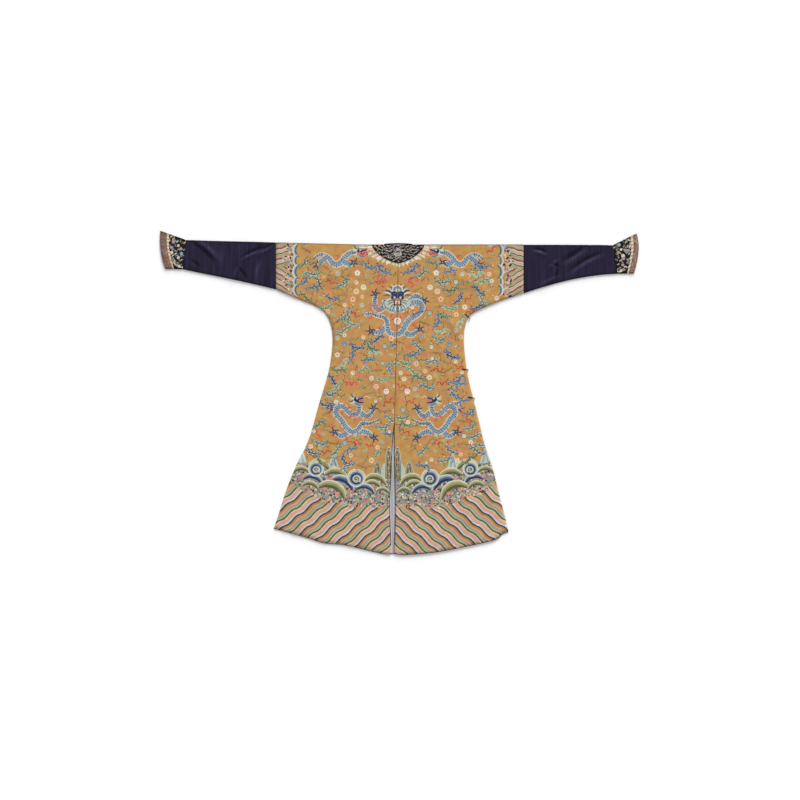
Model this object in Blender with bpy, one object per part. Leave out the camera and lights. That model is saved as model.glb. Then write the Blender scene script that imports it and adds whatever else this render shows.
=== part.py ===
"""A Qing court robe with dragons, laid flat on its front with its back up.

Metres, +Z up. +Y points from hem to neck and +X to the wearer's right. Sizes are given from the neck
point, where the centre seam meets the shoulder line: `down` towards the hem, `across` to either side.
An empty carries every piece and puts the origin under the middle of the robe's box.

Each body panel is one length of cloth, from the back hem over the shoulder to the front hem, with the
upper half of its sleeve cut in one with it. The layers lie on each other, at three levels: level 0 is
on the surface, and the back is level 2 over the lining and the inner front, and level 1 elsewhere.
"""

import math
from collections import namedtuple

import bmesh
import bpy
from mathutils import Vector

MM = 0.001
WALL = 1.5 * MM
SEAM_GAP = 0.3 * MM
LEVEL_STEP = WALL + SEAM_GAP
TUBE_HEIGHT = 2 * WALL + SEAM_GAP
LINING_WALL = 1.0 * MM
COLLAR_WALL = 1.0 * MM

SIGN = {"left": -1.0, "right": 1.0}

# The seam where the plain sleeve joins the body panel, and the depth of the sleeve there.
SLEEVE_SEAM = {"left": 0.5365, "right": 0.5496}
SLEEVE_FOOT = {"left": 0.197, "right": 0.2147}

# The shoulder line rises a little towards the left hand.
SHOULDER_RISE = {"left": 0.0245, "right": 0.0}
RISE_START = 0.17

Side = namedtuple("Side", "place down left right")
SIDES = (
    Side("sleeve slope", 0.240, 0.4386, 0.4700),
    Side("sleeve slope", 0.275, 0.3547, 0.3810),
    Side("underarm", 0.313, 0.3126, 0.3130),
    Side("underarm", 0.368, 0.2915, 0.2915),
    Side("waist", 0.430, 0.2880, 0.2885),
    Side("waist", 0.501, 0.2950, 0.2945),
    Side("hip", 0.575, 0.3097, 0.3050),
    Side("hip", 0.677, 0.3407, 0.3297),
    Side("skirt", 0.760, 0.3660, 0.3530),
    Side("skirt", 0.822, 0.3850, 0.3690),
    Side("skirt", 0.882, 0.4100, 0.3880),
    Side("skirt", 0.940, 0.4403, 0.4100),
    Side("skirt", 1.012, 0.4706, 0.4290),
    Side("skirt", 1.089, 0.4983, 0.4470),
    Side("skirt", 1.174, 0.5233, 0.4680),
    Side("hem", 1.245, 0.5461, 0.4840),
)
SIDE_END = SIDES[-1].down

Hem = namedtuple("Hem", "across down")
HEM = (
    Hem(-0.5461, 1.2450),
    Hem(-0.4048, 1.2854),
    Hem(-0.3244, 1.3100),
    Hem(-0.2335, 1.3190),
    Hem(-0.0724, 1.3556),
    Hem(0.0364, 1.3609),
    Hem(0.1765, 1.3482),
    Hem(0.3723, 1.3086),
    Hem(0.4340, 1.2905),
    Hem(0.4560, 1.2700),
    Hem(0.4840, 1.2600),
)
HEM_RAMP_START = 0.677

Vent = namedtuple("Vent", "down middle half_gap")
VENT = (
    Vent(0.000, 0.0000, 0.00015),
    Vent(0.200, -0.0020, 0.00015),
    Vent(0.782, -0.0167, 0.00040),
    Vent(0.858, -0.0210, 0.00400),
    Vent(0.990, -0.0230, 0.00800),
    Vent(1.110, -0.0250, 0.01230),
    Vent(1.210, -0.0250, 0.01230),
    Vent(1.310, -0.0235, 0.00800),
    Vent(1.361, -0.0235, 0.00650),
)

NECK_HALF_WIDTH = 0.065
NECK_DEPTH = 0.090
NECK_EDGING_WIDTH = 4.0 * MM
NECK_BULGE = 3.0 * MM
NECK_FACET_ROOM = 1.0 * MM
NECK_BACK_RAISE = 0.8 * MM
NECK_BACK_STEPS = 16
NECK_FRONT_STEPS = 14
NECK_DROP_START = 0.7

# Across a body panel: the first column ends at the neck point of the shoulder fold.
BACK_COLUMNS = (0.0, NECK_HALF_WIDTH / SLEEVE_SEAM["left"], 0.20, 0.30, 0.42, 0.55, 0.68, 0.80, 0.91, 1.0)
NECK_STEPS = 6
NECK_ROWS = tuple(NECK_DEPTH * math.sin(math.pi / 2 * n / NECK_STEPS) for n in range(NECK_STEPS + 1))
SLEEVE_ROWS = NECK_ROWS + (0.145,)
FOLD_STEPS = 5
# Where the left back comes down from the layers under it: from the seam, and lower from the lining too.
SEAM_LIFT = (0.02, 0.10)
LINING_LIFT = (0.09, 0.16)
LINING_LIFT_START = 0.60
# Where the right front comes down to the surface: outwards in the sleeve, and upwards above the overlap.
SLEEVE_DROP = (0.40, 0.50)
CHEST_DROP = (0.30, 0.35)

OVERLAP_TOP_POWER = 1.5
OVERLAP_TOP_FOOT = 0.316
OVERLAP_TOP_REACH = 0.3091
OVERLAP_BASE = 0.368
OVERLAP_STEPS = 4
OVERLAP_COLUMNS = 6
INNER_FRONT_EDGE = 2.0 * MM

LINING_ACROSS = (-0.075, -0.0455, -0.0015)
LINING_DOWNS = (0.75, 0.90, 1.05, 1.17, SIDE_END)

COLLAR_HALF_WIDTH = 0.115
COLLAR_DEPTH = 0.082
COLLAR_POWER = 1.5
COLLAR_TOP = 2.2 * MM
COLLAR_TIP_SHARE = 0.985
COLLAR_COLUMNS = 14
COLLAR_ROWS = 4

# The line of a flattened sleeve from its top fold to its foot seam. `bulge` pulls the line outwards.
Section = namedtuple("Section", "place top_x top_y bulge_x bulge_y foot_x foot_y")


def upright(place, x, top_y, foot_y, foot_x=None):
    """A section whose line is straight."""
    foot_x = x if foot_x is None else foot_x
    return Section(place, x, top_y, (x + foot_x) / 2, (top_y + foot_y) / 2, foot_x, foot_y)


SLEEVES = {
    "left": (
        upright("body seam", 0.5368, 0.0090, -0.1970),
        upright("upper", 0.6330, 0.0120, -0.1745),
        upright("middle", 0.7500, 0.0145, -0.1490),
        upright("lower", 0.8600, 0.0175, -0.1270),
        upright("cuff seam", 0.9315, 0.0198, -0.1093, 0.9440),
    ),
    "right": (
        upright("body seam", 0.5499, -0.0010, -0.2147),
        upright("upper", 0.6225, -0.0010, -0.1910),
        upright("middle", 0.7103, -0.0010, -0.1660),
        upright("lower", 0.7980, -0.0015, -0.1470),
        upright("wrist", 0.8860, -0.0020, -0.1340),
        upright("cuff seam", 0.9413, -0.0035, -0.1286, 0.9597),
    ),
}
CUFFS = {
    "left": (
        Section("sleeve seam", 0.9318, 0.0200, 0.9382, -0.0450, 0.9443, -0.1092),
        Section("edging seam", 1.0153, 0.0505, 1.0240, -0.0200, 0.9890, -0.1080),
        Section("mouth", 1.0443, 0.0601, 1.0514, -0.0266, 1.0215, -0.1080),
    ),
    "right": (
        Section("sleeve seam", 0.9416, -0.0033, 0.9510, -0.0660, 0.9600, -0.1285),
        Section("edging seam", 1.0303, 0.0417, 1.0430, -0.0270, 1.0102, -0.1283),
        Section("mouth", 1.0470, 0.0479, 1.0690, -0.0240, 1.0338, -0.1280),
    ),
}
TUBE_FLATS = 5
TUBE_TURNS = 4
TANGENT_STEP = 0.01
CUFF_STEPS = 3

BUTTON_RADIUS = 3.5 * MM
BUTTON_CLEARANCE = 1.0 * MM
STRAP_LENGTH = 22.0 * MM
STRAP_WIDTH = 4.0 * MM
STRAP_INSET = 0.5 * MM
Fastening = namedtuple("Fastening", "name down degrees")
FASTENINGS = (
    Fastening("1", 0.320, -38.0),
    Fastening("2", 0.549, -4.0),
    Fastening("3", 0.674, -12.0),
)

Finish = namedtuple("Finish", "color roughness metallic")
FINISHES = {
    "ochre_tapestry": Finish((0.55, 0.32, 0.12), 0.75, 0.0),
    "navy_silk": Finish((0.028, 0.022, 0.045), 0.45, 0.0),
    "dark_tapestry": Finish((0.03, 0.03, 0.045), 0.7, 0.0),
    "brown_edging": Finish((0.22, 0.13, 0.10), 0.7, 0.0),
    "lining_silk": Finish((0.42, 0.44, 0.52), 0.5, 0.0),
    "dark_bronze": Finish((0.10, 0.06, 0.04), 0.35, 0.9),
}


def smooth(value):
    """0 to 1 with a soft start and end."""
    value = min(1.0, max(0.0, value))
    return value * value * (3.0 - 2.0 * value)


def read(table, key, at, column):
    """The value of `column` where `key` is `at`, on straight lines between the table's rows."""
    for low, high in zip(table, table[1:]):
        start = getattr(low, key)
        end = getattr(high, key)
        if at <= end or high is table[-1]:
            part = min(1.0, max(0.0, (at - start) / (end - start)))
            return getattr(low, column) + part * (getattr(high, column) - getattr(low, column))
    return getattr(table[-1], column)


def level(number):
    """The height of the middle of the cloth at a level."""
    return WALL / 2 + number * LEVEL_STEP


def side_x(side, down):
    """Distance from the centre line to the edge of the cloth."""
    if down <= SLEEVE_FOOT[side]:
        return SLEEVE_SEAM[side]
    foot = Side("sleeve foot", SLEEVE_FOOT[side], SLEEVE_SEAM["left"], SLEEVE_SEAM["right"])
    return read((foot,) + SIDES, "down", down, side)


def lowered(down, x):
    """`down` at a place across the skirt, where the rows run ever more along the hem."""
    ramp = min(1.0, max(0.0, (down - HEM_RAMP_START) / (SIDE_END - HEM_RAMP_START)))
    return down + ramp * (read(HEM, "across", x, "down") - SIDE_END)


def shoulder_y(side, x):
    """Height of the shoulder line in plan."""
    return SHOULDER_RISE[side] * max(0.0, abs(x) - RISE_START)


def plan_y(side, x, down):
    """The y of a point, with the shoulder's rise fading out at the foot of the sleeve."""
    fade = 1.0 - min(1.0, down / SLEEVE_FOOT[side])
    return shoulder_y(side, x) * fade - lowered(down, x)


def vent_edge(side, down):
    """The centre edge of a back panel: a seam down to the vent, then the vent's edge."""
    deep = lowered(down, 0.0)
    middle = read(VENT, "down", deep, "middle")
    return middle + SIGN[side] * read(VENT, "down", deep, "half_gap")


def neck_edge(down):
    """Half the width of the neck opening in the front, an ellipse."""
    if down >= NECK_DEPTH:
        return 0.0
    return NECK_HALF_WIDTH * math.sqrt(1.0 - (down / NECK_DEPTH) ** 2)


def front_height(side, x, down):
    """The right front lies on the overlap, and comes down to the surface in the sleeve."""
    if side == "left":
        return level(0)
    in_body = smooth((SLEEVE_DROP[1] - abs(x)) / (SLEEVE_DROP[1] - SLEEVE_DROP[0]))
    below_chest = smooth((down - CHEST_DROP[0]) / (CHEST_DROP[1] - CHEST_DROP[0]))
    lift = max(in_body, below_chest)
    return level(0) + lift * LEVEL_STEP


def back_height(side, x, down):
    """The back lies on the front, and at the left of the centre seam on the lining too."""
    height = front_height(side, x, down) + LEVEL_STEP
    if side == "left":
        start, end = LINING_LIFT if down > LINING_LIFT_START else SEAM_LIFT
        height += LEVEL_STEP * (1.0 - smooth((abs(x) - start) / (end - start)))
    return height


def row_downs(side):
    """The rows of a body panel, from the shoulder to the hem."""
    return SLEEVE_ROWS + (SLEEVE_FOOT[side],) + tuple(row.down for row in SIDES)


def back_point(side, down, column):
    """A point of the back with its outward direction."""
    start = vent_edge(side, down)
    x = start + column * (SIGN[side] * side_x(side, down) - start)
    y = plan_y(side, x, down)
    if down == 0.0:
        y -= fold_radius(side, x) + WALL / 2
    return Vector((x, y, back_height(side, x, down))), Vector((0.0, 0.0, 1.0))


def fold_radius(side, x):
    """The radius of the shoulder fold at the middle of the cloth."""
    return (back_height(side, x, 0.0) - front_height(side, x, 0.0)) / 2


def fold_point(side, turn, column):
    """A point of the shoulder fold, `turn` radians round from the back."""
    x = vent_edge(side, 0.0)
    x += column * (SIGN[side] * side_x(side, 0.0) - x)
    radius = fold_radius(side, x)
    out = Vector((0.0, math.sin(turn), math.cos(turn)))
    middle = (back_height(side, x, 0.0) + front_height(side, x, 0.0)) / 2
    centre = Vector((x, shoulder_y(side, x) - radius - WALL / 2, middle))
    return centre + radius * out, out


def front_x(side, down, column, inner_edge=0.0):
    """Across a front panel, from the neck or the centre edge to the side."""
    start = neck_edge(down) + inner_edge
    start = vent_edge(side, 0.0) + SIGN[side] * start
    if down == 0.0:
        start = vent_edge(side, 0.0)
        start += BACK_COLUMNS[1] * (SIGN[side] * side_x(side, 0.0) - start)
    share = (column - BACK_COLUMNS[1]) / (1.0 - BACK_COLUMNS[1])
    return start + share * (SIGN[side] * side_x(side, down) - start)


def front_point(side, down, column):
    """A point of the front, facing down."""
    inner_edge = INNER_FRONT_EDGE if side == "right" and down > 0.0 else 0.0
    x = front_x(side, down, column, inner_edge)
    y = plan_y(side, x, down)
    if down == 0.0:
        y -= fold_radius(side, x) + WALL / 2
    return Vector((x, y, front_height(side, x, down))), Vector((0.0, 0.0, -1.0))


def add_object(name, mesh, finish):
    """Puts a mesh in the scene under the robe's empty, with its own material."""
    item = bpy.data.objects.new(name, mesh)
    bpy.context.scene.collection.objects.link(item)
    item.parent = bpy.data.objects["robe"]
    material = bpy.data.materials.new(name)
    material.use_nodes = True
    shader = material.node_tree.nodes["Principled BSDF"]
    values = FINISHES[finish]
    shader.inputs["Base Color"].default_value = values.color + (1.0,)
    shader.inputs["Roughness"].default_value = values.roughness
    shader.inputs["Metallic"].default_value = values.metallic
    mesh.materials.append(material)
    return item


def finish_mesh(name, build, finish):
    """Turns a bmesh's faces out and makes its object."""
    bmesh.ops.recalc_face_normals(build, faces=build.faces[:])
    mesh = bpy.data.meshes.new(name)
    build.to_mesh(mesh)
    build.free()
    return add_object(name, mesh, finish)


def sheet(name, rows, wall, finish):
    """A wall of cloth on a grid of (point, direction) pairs, where None leaves a place open."""
    build = bmesh.new()
    skins = []
    for offset in (wall / 2, -wall / 2):
        skins.append([[None if spot is None else build.verts.new(spot[0] + offset * spot[1])
                       for spot in row] for row in rows])
    edge_count = {}
    for i in range(len(rows) - 1):
        for j in range(len(rows[0]) - 1):
            corners = ((i, j), (i, j + 1), (i + 1, j + 1), (i + 1, j))
            if any(rows[a][b] is None for a, b in corners):
                continue
            for skin in skins:
                build.faces.new([skin[a][b] for a, b in corners])
            for edge in zip(corners, corners[1:] + corners[:1]):
                key = tuple(sorted(edge))
                edge_count[key] = edge_count.get(key, 0) + 1
    for (a, b), count in edge_count.items():
        if count == 1:
            top, under = skins
            build.faces.new((top[a[0]][a[1]], top[b[0]][b[1]], under[b[0]][b[1]], under[a[0]][a[1]]))
    return finish_mesh(name, build, finish)


def body_panel(side):
    """Back, shoulder fold and front in one length of cloth."""
    downs = row_downs(side)
    rows = []
    for down in reversed(downs):
        rows.append([back_point(side, down, column) for column in BACK_COLUMNS])
    for step in range(1, FOLD_STEPS):
        turn = math.pi * step / FOLD_STEPS
        rows.append([None] + [fold_point(side, turn, column) for column in BACK_COLUMNS[1:]])
    for down in downs:
        rows.append([None] + [front_point(side, down, column) for column in BACK_COLUMNS[1:]])
    return sheet(f"body_{side}", rows, WALL, "ochre_tapestry")


def overlap_panel():
    """The outer front, sewn to the left front and closing on the right side."""
    columns = [number / OVERLAP_COLUMNS for number in range(OVERLAP_COLUMNS + 1)]
    start = SEAM_GAP / 2
    rows = []
    for step in range(OVERLAP_STEPS):
        part = step / OVERLAP_STEPS
        row = []
        for column in columns:
            top_x = start + column * (OVERLAP_TOP_REACH - start)
            share = (top_x / OVERLAP_TOP_REACH) ** OVERLAP_TOP_POWER
            top_down = NECK_DEPTH + SEAM_GAP + share * (OVERLAP_TOP_FOOT - NECK_DEPTH)
            low_x = start + column * (side_x("right", OVERLAP_BASE) - start)
            x = top_x + part * (low_x - top_x)
            down = top_down + part * (OVERLAP_BASE - top_down)
            row.append((Vector((x, -down, level(0))), Vector((0.0, 0.0, -1.0))))
        rows.append(row)
    for side_row in SIDES:
        if side_row.down >= OVERLAP_BASE:
            row = []
            for column in columns:
                x = start + column * (side_row.right - start)
                y = -lowered(side_row.down, x)
                row.append((Vector((x, y, level(0))), Vector((0.0, 0.0, -1.0))))
            rows.append(row)
    return sheet("front_overlap", rows, WALL, "ochre_tapestry")


def front_lining():
    """The lining of the front where the back vent shows it."""
    height = WALL + SEAM_GAP + LINING_WALL / 2
    rows = []
    for down in LINING_DOWNS:
        rows.append([(Vector((x, -lowered(down, x), height)), Vector((0.0, 0.0, 1.0)))
                     for x in LINING_ACROSS])
    return sheet("front_lining", rows, LINING_WALL, "lining_silk")


def collar():
    """The half-moon on the back, made from the back's points moved out."""
    lift = WALL / 2 + SEAM_GAP + COLLAR_WALL / 2
    rows = []
    for step in range(COLLAR_ROWS + 1):
        row = []
        for number in range(COLLAR_COLUMNS + 1):
            share = COLLAR_TIP_SHARE * math.sin(math.pi * (number / COLLAR_COLUMNS - 0.5))
            x = COLLAR_HALF_WIDTH * share
            depth = (1.0 - abs(share) ** COLLAR_POWER) ** (1.0 / COLLAR_POWER)
            down = COLLAR_TOP + step / COLLAR_ROWS * depth * (COLLAR_DEPTH - COLLAR_TOP)
            side = "left" if x < 0.0 else "right"
            spot = Vector((x, -down, back_height(side, x, down) + lift))
            row.append((spot, Vector((0.0, 0.0, 1.0))))
        rows.append(row)
    return sheet("collar_back", rows, COLLAR_WALL, "dark_tapestry")


def ring_solid(name, ring, finish):
    """A closed band from a list of four-cornered sections."""
    build = bmesh.new()
    loops = [[build.verts.new(corner) for corner in corners] for corners in ring]
    for here, there in zip(loops, loops[1:] + loops[:1]):
        for k in range(4):
            build.faces.new((here[k], here[(k + 1) % 4], there[(k + 1) % 4], there[k]))
    return finish_mesh(name, build, finish)


def neck_edging():
    """The narrow binding round the neck: straight at the back, round at the front."""
    half = NECK_EDGING_WIDTH / 2
    reach = NECK_HALF_WIDTH - SEAM_GAP - half - NECK_FACET_ROOM
    depth = NECK_DEPTH - SEAM_GAP - half - NECK_FACET_ROOM
    middles = []
    for step in range(NECK_BACK_STEPS):
        share = 1.0 - 2.0 * step / NECK_BACK_STEPS
        drop = smooth((abs(share) - NECK_DROP_START) / (1.0 - NECK_DROP_START))
        height = level(2) - drop * 2 * LEVEL_STEP
        y = NECK_BACK_RAISE + NECK_BULGE * (1.0 - share ** 2)
        middles.append(Vector((reach * share, y, height)))
    for step in range(NECK_FRONT_STEPS):
        turn = math.pi * step / NECK_FRONT_STEPS
        middles.append(Vector((-reach * math.cos(turn), -depth * math.sin(turn), level(0))))
    ring = []
    for number, middle in enumerate(middles):
        ahead = middles[(number + 1) % len(middles)] - middles[number - 1]
        out = Vector((ahead.y, -ahead.x, 0.0)).normalized() * half
        up = Vector((0.0, 0.0, WALL / 2))
        ring.append((middle + out + up, middle - out + up, middle - out - up, middle + out - up))
    return ring_solid("neck_edging", ring, "brown_edging")


def section_line(section, part):
    """A point of a section's line, from the top at 0 to the foot at 1."""
    top = Vector((section.top_x, section.top_y, 0.0))
    bulge = Vector((section.bulge_x, section.bulge_y, 0.0))
    foot = Vector((section.foot_x, section.foot_y, 0.0))
    rest = 1.0 - part
    return rest * rest * top + 2.0 * rest * part * bulge + part * part * foot


def tube_ring(section, sign, radius):
    """Points round a flattened tube, `radius` above and below its middle."""
    height = Vector((0.0, 0.0, TUBE_HEIGHT / 2))
    turn_in = TUBE_HEIGHT / 2
    length = (section_line(section, 1.0) - section_line(section, 0.0)).length
    first = turn_in / length
    upper = []
    lower = []
    for number in range(TUBE_FLATS + 1):
        part = first + (1.0 - 2.0 * first) * number / TUBE_FLATS
        spot = section_line(section, part) + height
        upper.append(spot + Vector((0.0, 0.0, radius)))
        lower.append(spot - Vector((0.0, 0.0, radius)))
    ends = []
    for part, towards in ((1.0 - first, 1.0), (first, -1.0)):
        centre = section_line(section, part) + height
        along = section_line(section, part + TANGENT_STEP) - section_line(section, part - TANGENT_STEP)
        along.normalize()
        arc = []
        for number in range(1, TUBE_TURNS):
            turn = math.pi * number / TUBE_TURNS
            rise = towards * math.cos(turn) * radius
            arc.append(centre + towards * along * math.sin(turn) * radius + Vector((0, 0, rise)))
        ends.append(arc)
    points = upper + ends[0] + lower[::-1] + ends[1]
    return [Vector((sign * spot.x, spot.y, spot.z)) for spot in points]


def blend_sections(start, end, part):
    """A section between two others."""
    numbers = [a + part * (b - a) for a, b in zip(start[1:], end[1:])]
    return Section(start.place, *numbers)


def tube(name, side, sections, finish):
    """A flattened tube with a wall, open at both ends."""
    build = bmesh.new()
    skins = []
    for radius in (TUBE_HEIGHT / 2, TUBE_HEIGHT / 2 - WALL):
        skins.append([[build.verts.new(spot) for spot in tube_ring(section, SIGN[side], radius)]
                      for section in sections])
    count = len(skins[0][0])
    for skin in skins:
        for here, there in zip(skin, skin[1:]):
            for k in range(count):
                n = (k + 1) % count
                build.faces.new((here[k], here[n], there[n], there[k]))
    for end in (0, -1):
        outer = skins[0][end]
        inner = skins[1][end]
        for k in range(count):
            n = (k + 1) % count
            build.faces.new((outer[k], outer[n], inner[n], inner[k]))
    return finish_mesh(name, build, finish)


def moved_out(section, distance):
    """A section moved along the sleeve, away from the body."""
    return section._replace(top_x=section.top_x + distance, bulge_x=section.bulge_x + distance,
                            foot_x=section.foot_x + distance)


def sleeve_pieces(side):
    """The plain sleeve, the horseshoe cuff and the cuff's edging of one arm."""
    tube(f"sleeve_{side}", side, SLEEVES[side], "navy_silk")
    seam, edging, mouth = CUFFS[side]
    steps = [blend_sections(seam, edging, number / CUFF_STEPS) for number in range(CUFF_STEPS + 1)]
    tube(f"cuff_{side}", side, steps, "dark_tapestry")
    tube(f"cuff_edging_{side}", side, (moved_out(edging, SEAM_GAP), mouth), "brown_edging")


def fastening(entry):
    """A ball button at the right side and the strap that holds it, lying on the back."""
    turn = math.radians(entry.degrees)
    out = Vector((math.cos(turn), math.sin(turn), 0.0))
    across = Vector((-out.y, out.x, 0.0))
    edge_x = side_x("right", entry.down)
    edge = Vector((edge_x, -lowered(entry.down, edge_x), 0.0))
    height = level(2) + WALL / 2 + SEAM_GAP + WALL / 2
    rows = []
    for part in (0.0, 0.5, 1.0):
        middle = edge - out * (STRAP_LENGTH * (1.0 - part) + STRAP_INSET)
        middle.z = height
        rows.append([(middle + side * across * STRAP_WIDTH / 2, Vector((0.0, 0.0, 1.0)))
                     for side in (-1.0, 0.0, 1.0)])
    sheet(f"button_strap_{entry.name}", rows, WALL, "brown_edging")
    build = bmesh.new()
    bmesh.ops.create_uvsphere(build, u_segments=12, v_segments=8, radius=BUTTON_RADIUS)
    centre = edge + out * (BUTTON_RADIUS + BUTTON_CLEARANCE)
    centre.z = BUTTON_RADIUS
    bmesh.ops.translate(build, vec=centre, verts=build.verts[:])
    finish_mesh(f"button_{entry.name}", build, "dark_bronze")


def centre_robe(holder):
    """Moves the empty so that the origin is under the middle of the robe's box."""
    spots = [v.co for item in bpy.data.objects if item.type == "MESH" for v in item.data.vertices]
    for axis in (0, 1):
        low = min(spot[axis] for spot in spots)
        high = max(spot[axis] for spot in spots)
        holder.location[axis] = -(low + high) / 2


def main():
    """Builds the robe from the body panels out."""
    for item in list(bpy.data.objects):
        bpy.data.objects.remove(item, do_unlink=True)
    holder = bpy.data.objects.new("robe", None)
    bpy.context.scene.collection.objects.link(holder)
    body_panel("left")
    body_panel("right")
    overlap_panel()
    front_lining()
    collar()
    neck_edging()
    for side in SIGN:
        sleeve_pieces(side)
    for entry in FASTENINGS:
        fastening(entry)
    centre_robe(holder)
    bpy.context.view_layer.update()


main()
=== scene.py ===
"""The looks of a Qing court robe with dragons, laid flat on its front with its back up.

Metres. Places on the robe are plan coordinates from its neck point, where the centre seam meets the
shoulder line: x towards the wearer's right, y from hem to neck. A piece that folds over the arm or the
shoulder is drawn unrolled: its back lies in plan, and its front carries on past the fold as a mirror
image, so the figures run over the fold as they do on the woven cloth. Motifs are drawn in millimetres.
"""

import math
import random
from collections import namedtuple

import bpy
import numpy as np
from mathutils.geometry import convex_hull_2d, delaunay_2d_cdt
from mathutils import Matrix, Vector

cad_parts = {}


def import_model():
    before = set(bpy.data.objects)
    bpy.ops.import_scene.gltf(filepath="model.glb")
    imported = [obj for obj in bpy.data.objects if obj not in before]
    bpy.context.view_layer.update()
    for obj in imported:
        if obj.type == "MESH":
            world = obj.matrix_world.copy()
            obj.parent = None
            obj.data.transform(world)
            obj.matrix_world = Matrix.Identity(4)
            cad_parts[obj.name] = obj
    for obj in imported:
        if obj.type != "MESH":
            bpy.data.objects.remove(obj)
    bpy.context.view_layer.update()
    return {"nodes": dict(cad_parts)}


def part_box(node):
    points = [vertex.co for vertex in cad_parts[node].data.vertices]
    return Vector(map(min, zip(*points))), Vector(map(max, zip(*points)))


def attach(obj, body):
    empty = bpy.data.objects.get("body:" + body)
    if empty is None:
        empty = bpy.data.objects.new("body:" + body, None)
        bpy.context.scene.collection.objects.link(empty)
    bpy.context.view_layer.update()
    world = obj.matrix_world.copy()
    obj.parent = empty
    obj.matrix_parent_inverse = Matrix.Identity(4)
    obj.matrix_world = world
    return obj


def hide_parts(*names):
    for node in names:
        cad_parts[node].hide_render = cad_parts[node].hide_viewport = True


MM = 0.001
SIGN = {"left": -1.0, "right": 1.0}

# ---------------------------------------------------------------- cut of the robe

SLEEVE_SEAM = {"left": 0.5365, "right": 0.5496}
SLEEVE_FOOT = {"left": 0.197, "right": 0.2147}
SHOULDER_RISE = {"left": 0.0245, "right": 0.0}
RISE_START = 0.17

Side = namedtuple("Side", "down left right")
SIDES = [Side(*row) for row in (
    (0.24, 0.4386, 0.47), (0.275, 0.3547, 0.381), (0.313, 0.3126, 0.313), (0.368, 0.2915, 0.2915),
    (0.43, 0.288, 0.2885), (0.501, 0.295, 0.2945), (0.575, 0.3097, 0.305), (0.677, 0.3407, 0.3297),
    (0.76, 0.366, 0.353), (0.822, 0.385, 0.369), (0.882, 0.41, 0.388), (0.94, 0.4403, 0.41),
    (1.012, 0.4706, 0.429), (1.089, 0.4983, 0.447), (1.174, 0.5233, 0.468), (1.245, 0.5461, 0.484),
)]
SIDE_END = SIDES[-1].down
HEM_RAMP_START = 0.677
HEM = (
    (-0.5461, 1.245), (-0.4048, 1.2854), (-0.3244, 1.31), (-0.2335, 1.319), (-0.0724, 1.3556),
    (0.0364, 1.3609), (0.1765, 1.3482), (0.3723, 1.3086), (0.434, 1.2905), (0.456, 1.27),
    (0.484, 1.26),
)
# Down the centre of the back: the seam, then the open vent, with its middle line and half its gap.
VENT = (
    (0.0, 0.0, 0.00015), (0.2, -0.002, 0.00015), (0.782, -0.0167, 0.0004), (0.858, -0.021, 0.004),
    (0.99, -0.023, 0.008), (1.11, -0.025, 0.0123), (1.21, -0.025, 0.0123), (1.31, -0.0235, 0.008),
    (1.361, -0.0235, 0.0065),
)
NECK_HALF_WIDTH = 0.065
NECK_DEPTH = 0.09
OVERLAP_REACH = 0.3091
OVERLAP_FOOT = 0.316
OVERLAP_POWER = 1.5
INNER_FRONT_EDGE = 0.002
COLLAR_HALF_WIDTH = 0.115
COLLAR_DEPTH = 0.082
COLLAR_POWER = 1.5
COLLAR_TIP = 0.985
COLLAR_TOP = -0.0022
COLLAR_FIELD = (0.109, 0.077)
SEAM_GAP = 0.00015
NECK_STEPS = 14
CUFF_BAND = (0.87, 0.99)
EDGING_GAP = 0.3 * MM

Fastening = namedtuple("Fastening", "name down degrees")
FASTENINGS = (Fastening("1", 0.32, -38.0), Fastening("2", 0.549, -4.0), Fastening("3", 0.674, -12.0))

# Lines across an arm from its top fold to its foot: the top, a point that pulls the line out, the foot.
Section = namedtuple("Section", "top bulge foot")
SLEEVE_LINES = {
    "left": (
        Section((0.5368, 0.009), (0.5368, -0.094), (0.5368, -0.197)),
        Section((0.633, 0.012), (0.633, -0.0812), (0.633, -0.1745)),
        Section((0.75, 0.0145), (0.75, -0.0672), (0.75, -0.149)),
        Section((0.86, 0.0175), (0.86, -0.0548), (0.86, -0.127)),
        Section((0.9315, 0.0198), (0.9378, -0.0448), (0.944, -0.1093)),
    ),
    "right": (
        Section((0.5499, -0.001), (0.5499, -0.1078), (0.5499, -0.2147)),
        Section((0.6225, -0.001), (0.6225, -0.096), (0.6225, -0.191)),
        Section((0.7103, -0.001), (0.7103, -0.0835), (0.7103, -0.166)),
        Section((0.798, -0.0015), (0.798, -0.0742), (0.798, -0.147)),
        Section((0.886, -0.002), (0.886, -0.068), (0.886, -0.134)),
        Section((0.9413, -0.0035), (0.9505, -0.066), (0.9597, -0.1286)),
    ),
}
CUFF_LINES = {
    "left": (
        Section((0.9318, 0.02), (0.9382, -0.045), (0.9443, -0.1092)),
        Section((1.0153, 0.0505), (1.024, -0.02), (0.989, -0.108)),
        Section((1.0443, 0.0601), (1.0514, -0.0266), (1.0215, -0.108)),
    ),
    "right": (
        Section((0.9416, -0.0033), (0.951, -0.066), (0.96, -0.1285)),
        Section((1.0303, 0.0417), (1.043, -0.027), (1.0102, -0.1283)),
        Section((1.047, 0.0479), (1.069, -0.024), (1.0338, -0.128)),
    ),
}

# ---------------------------------------------------------------- how the cloth lies

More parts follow.
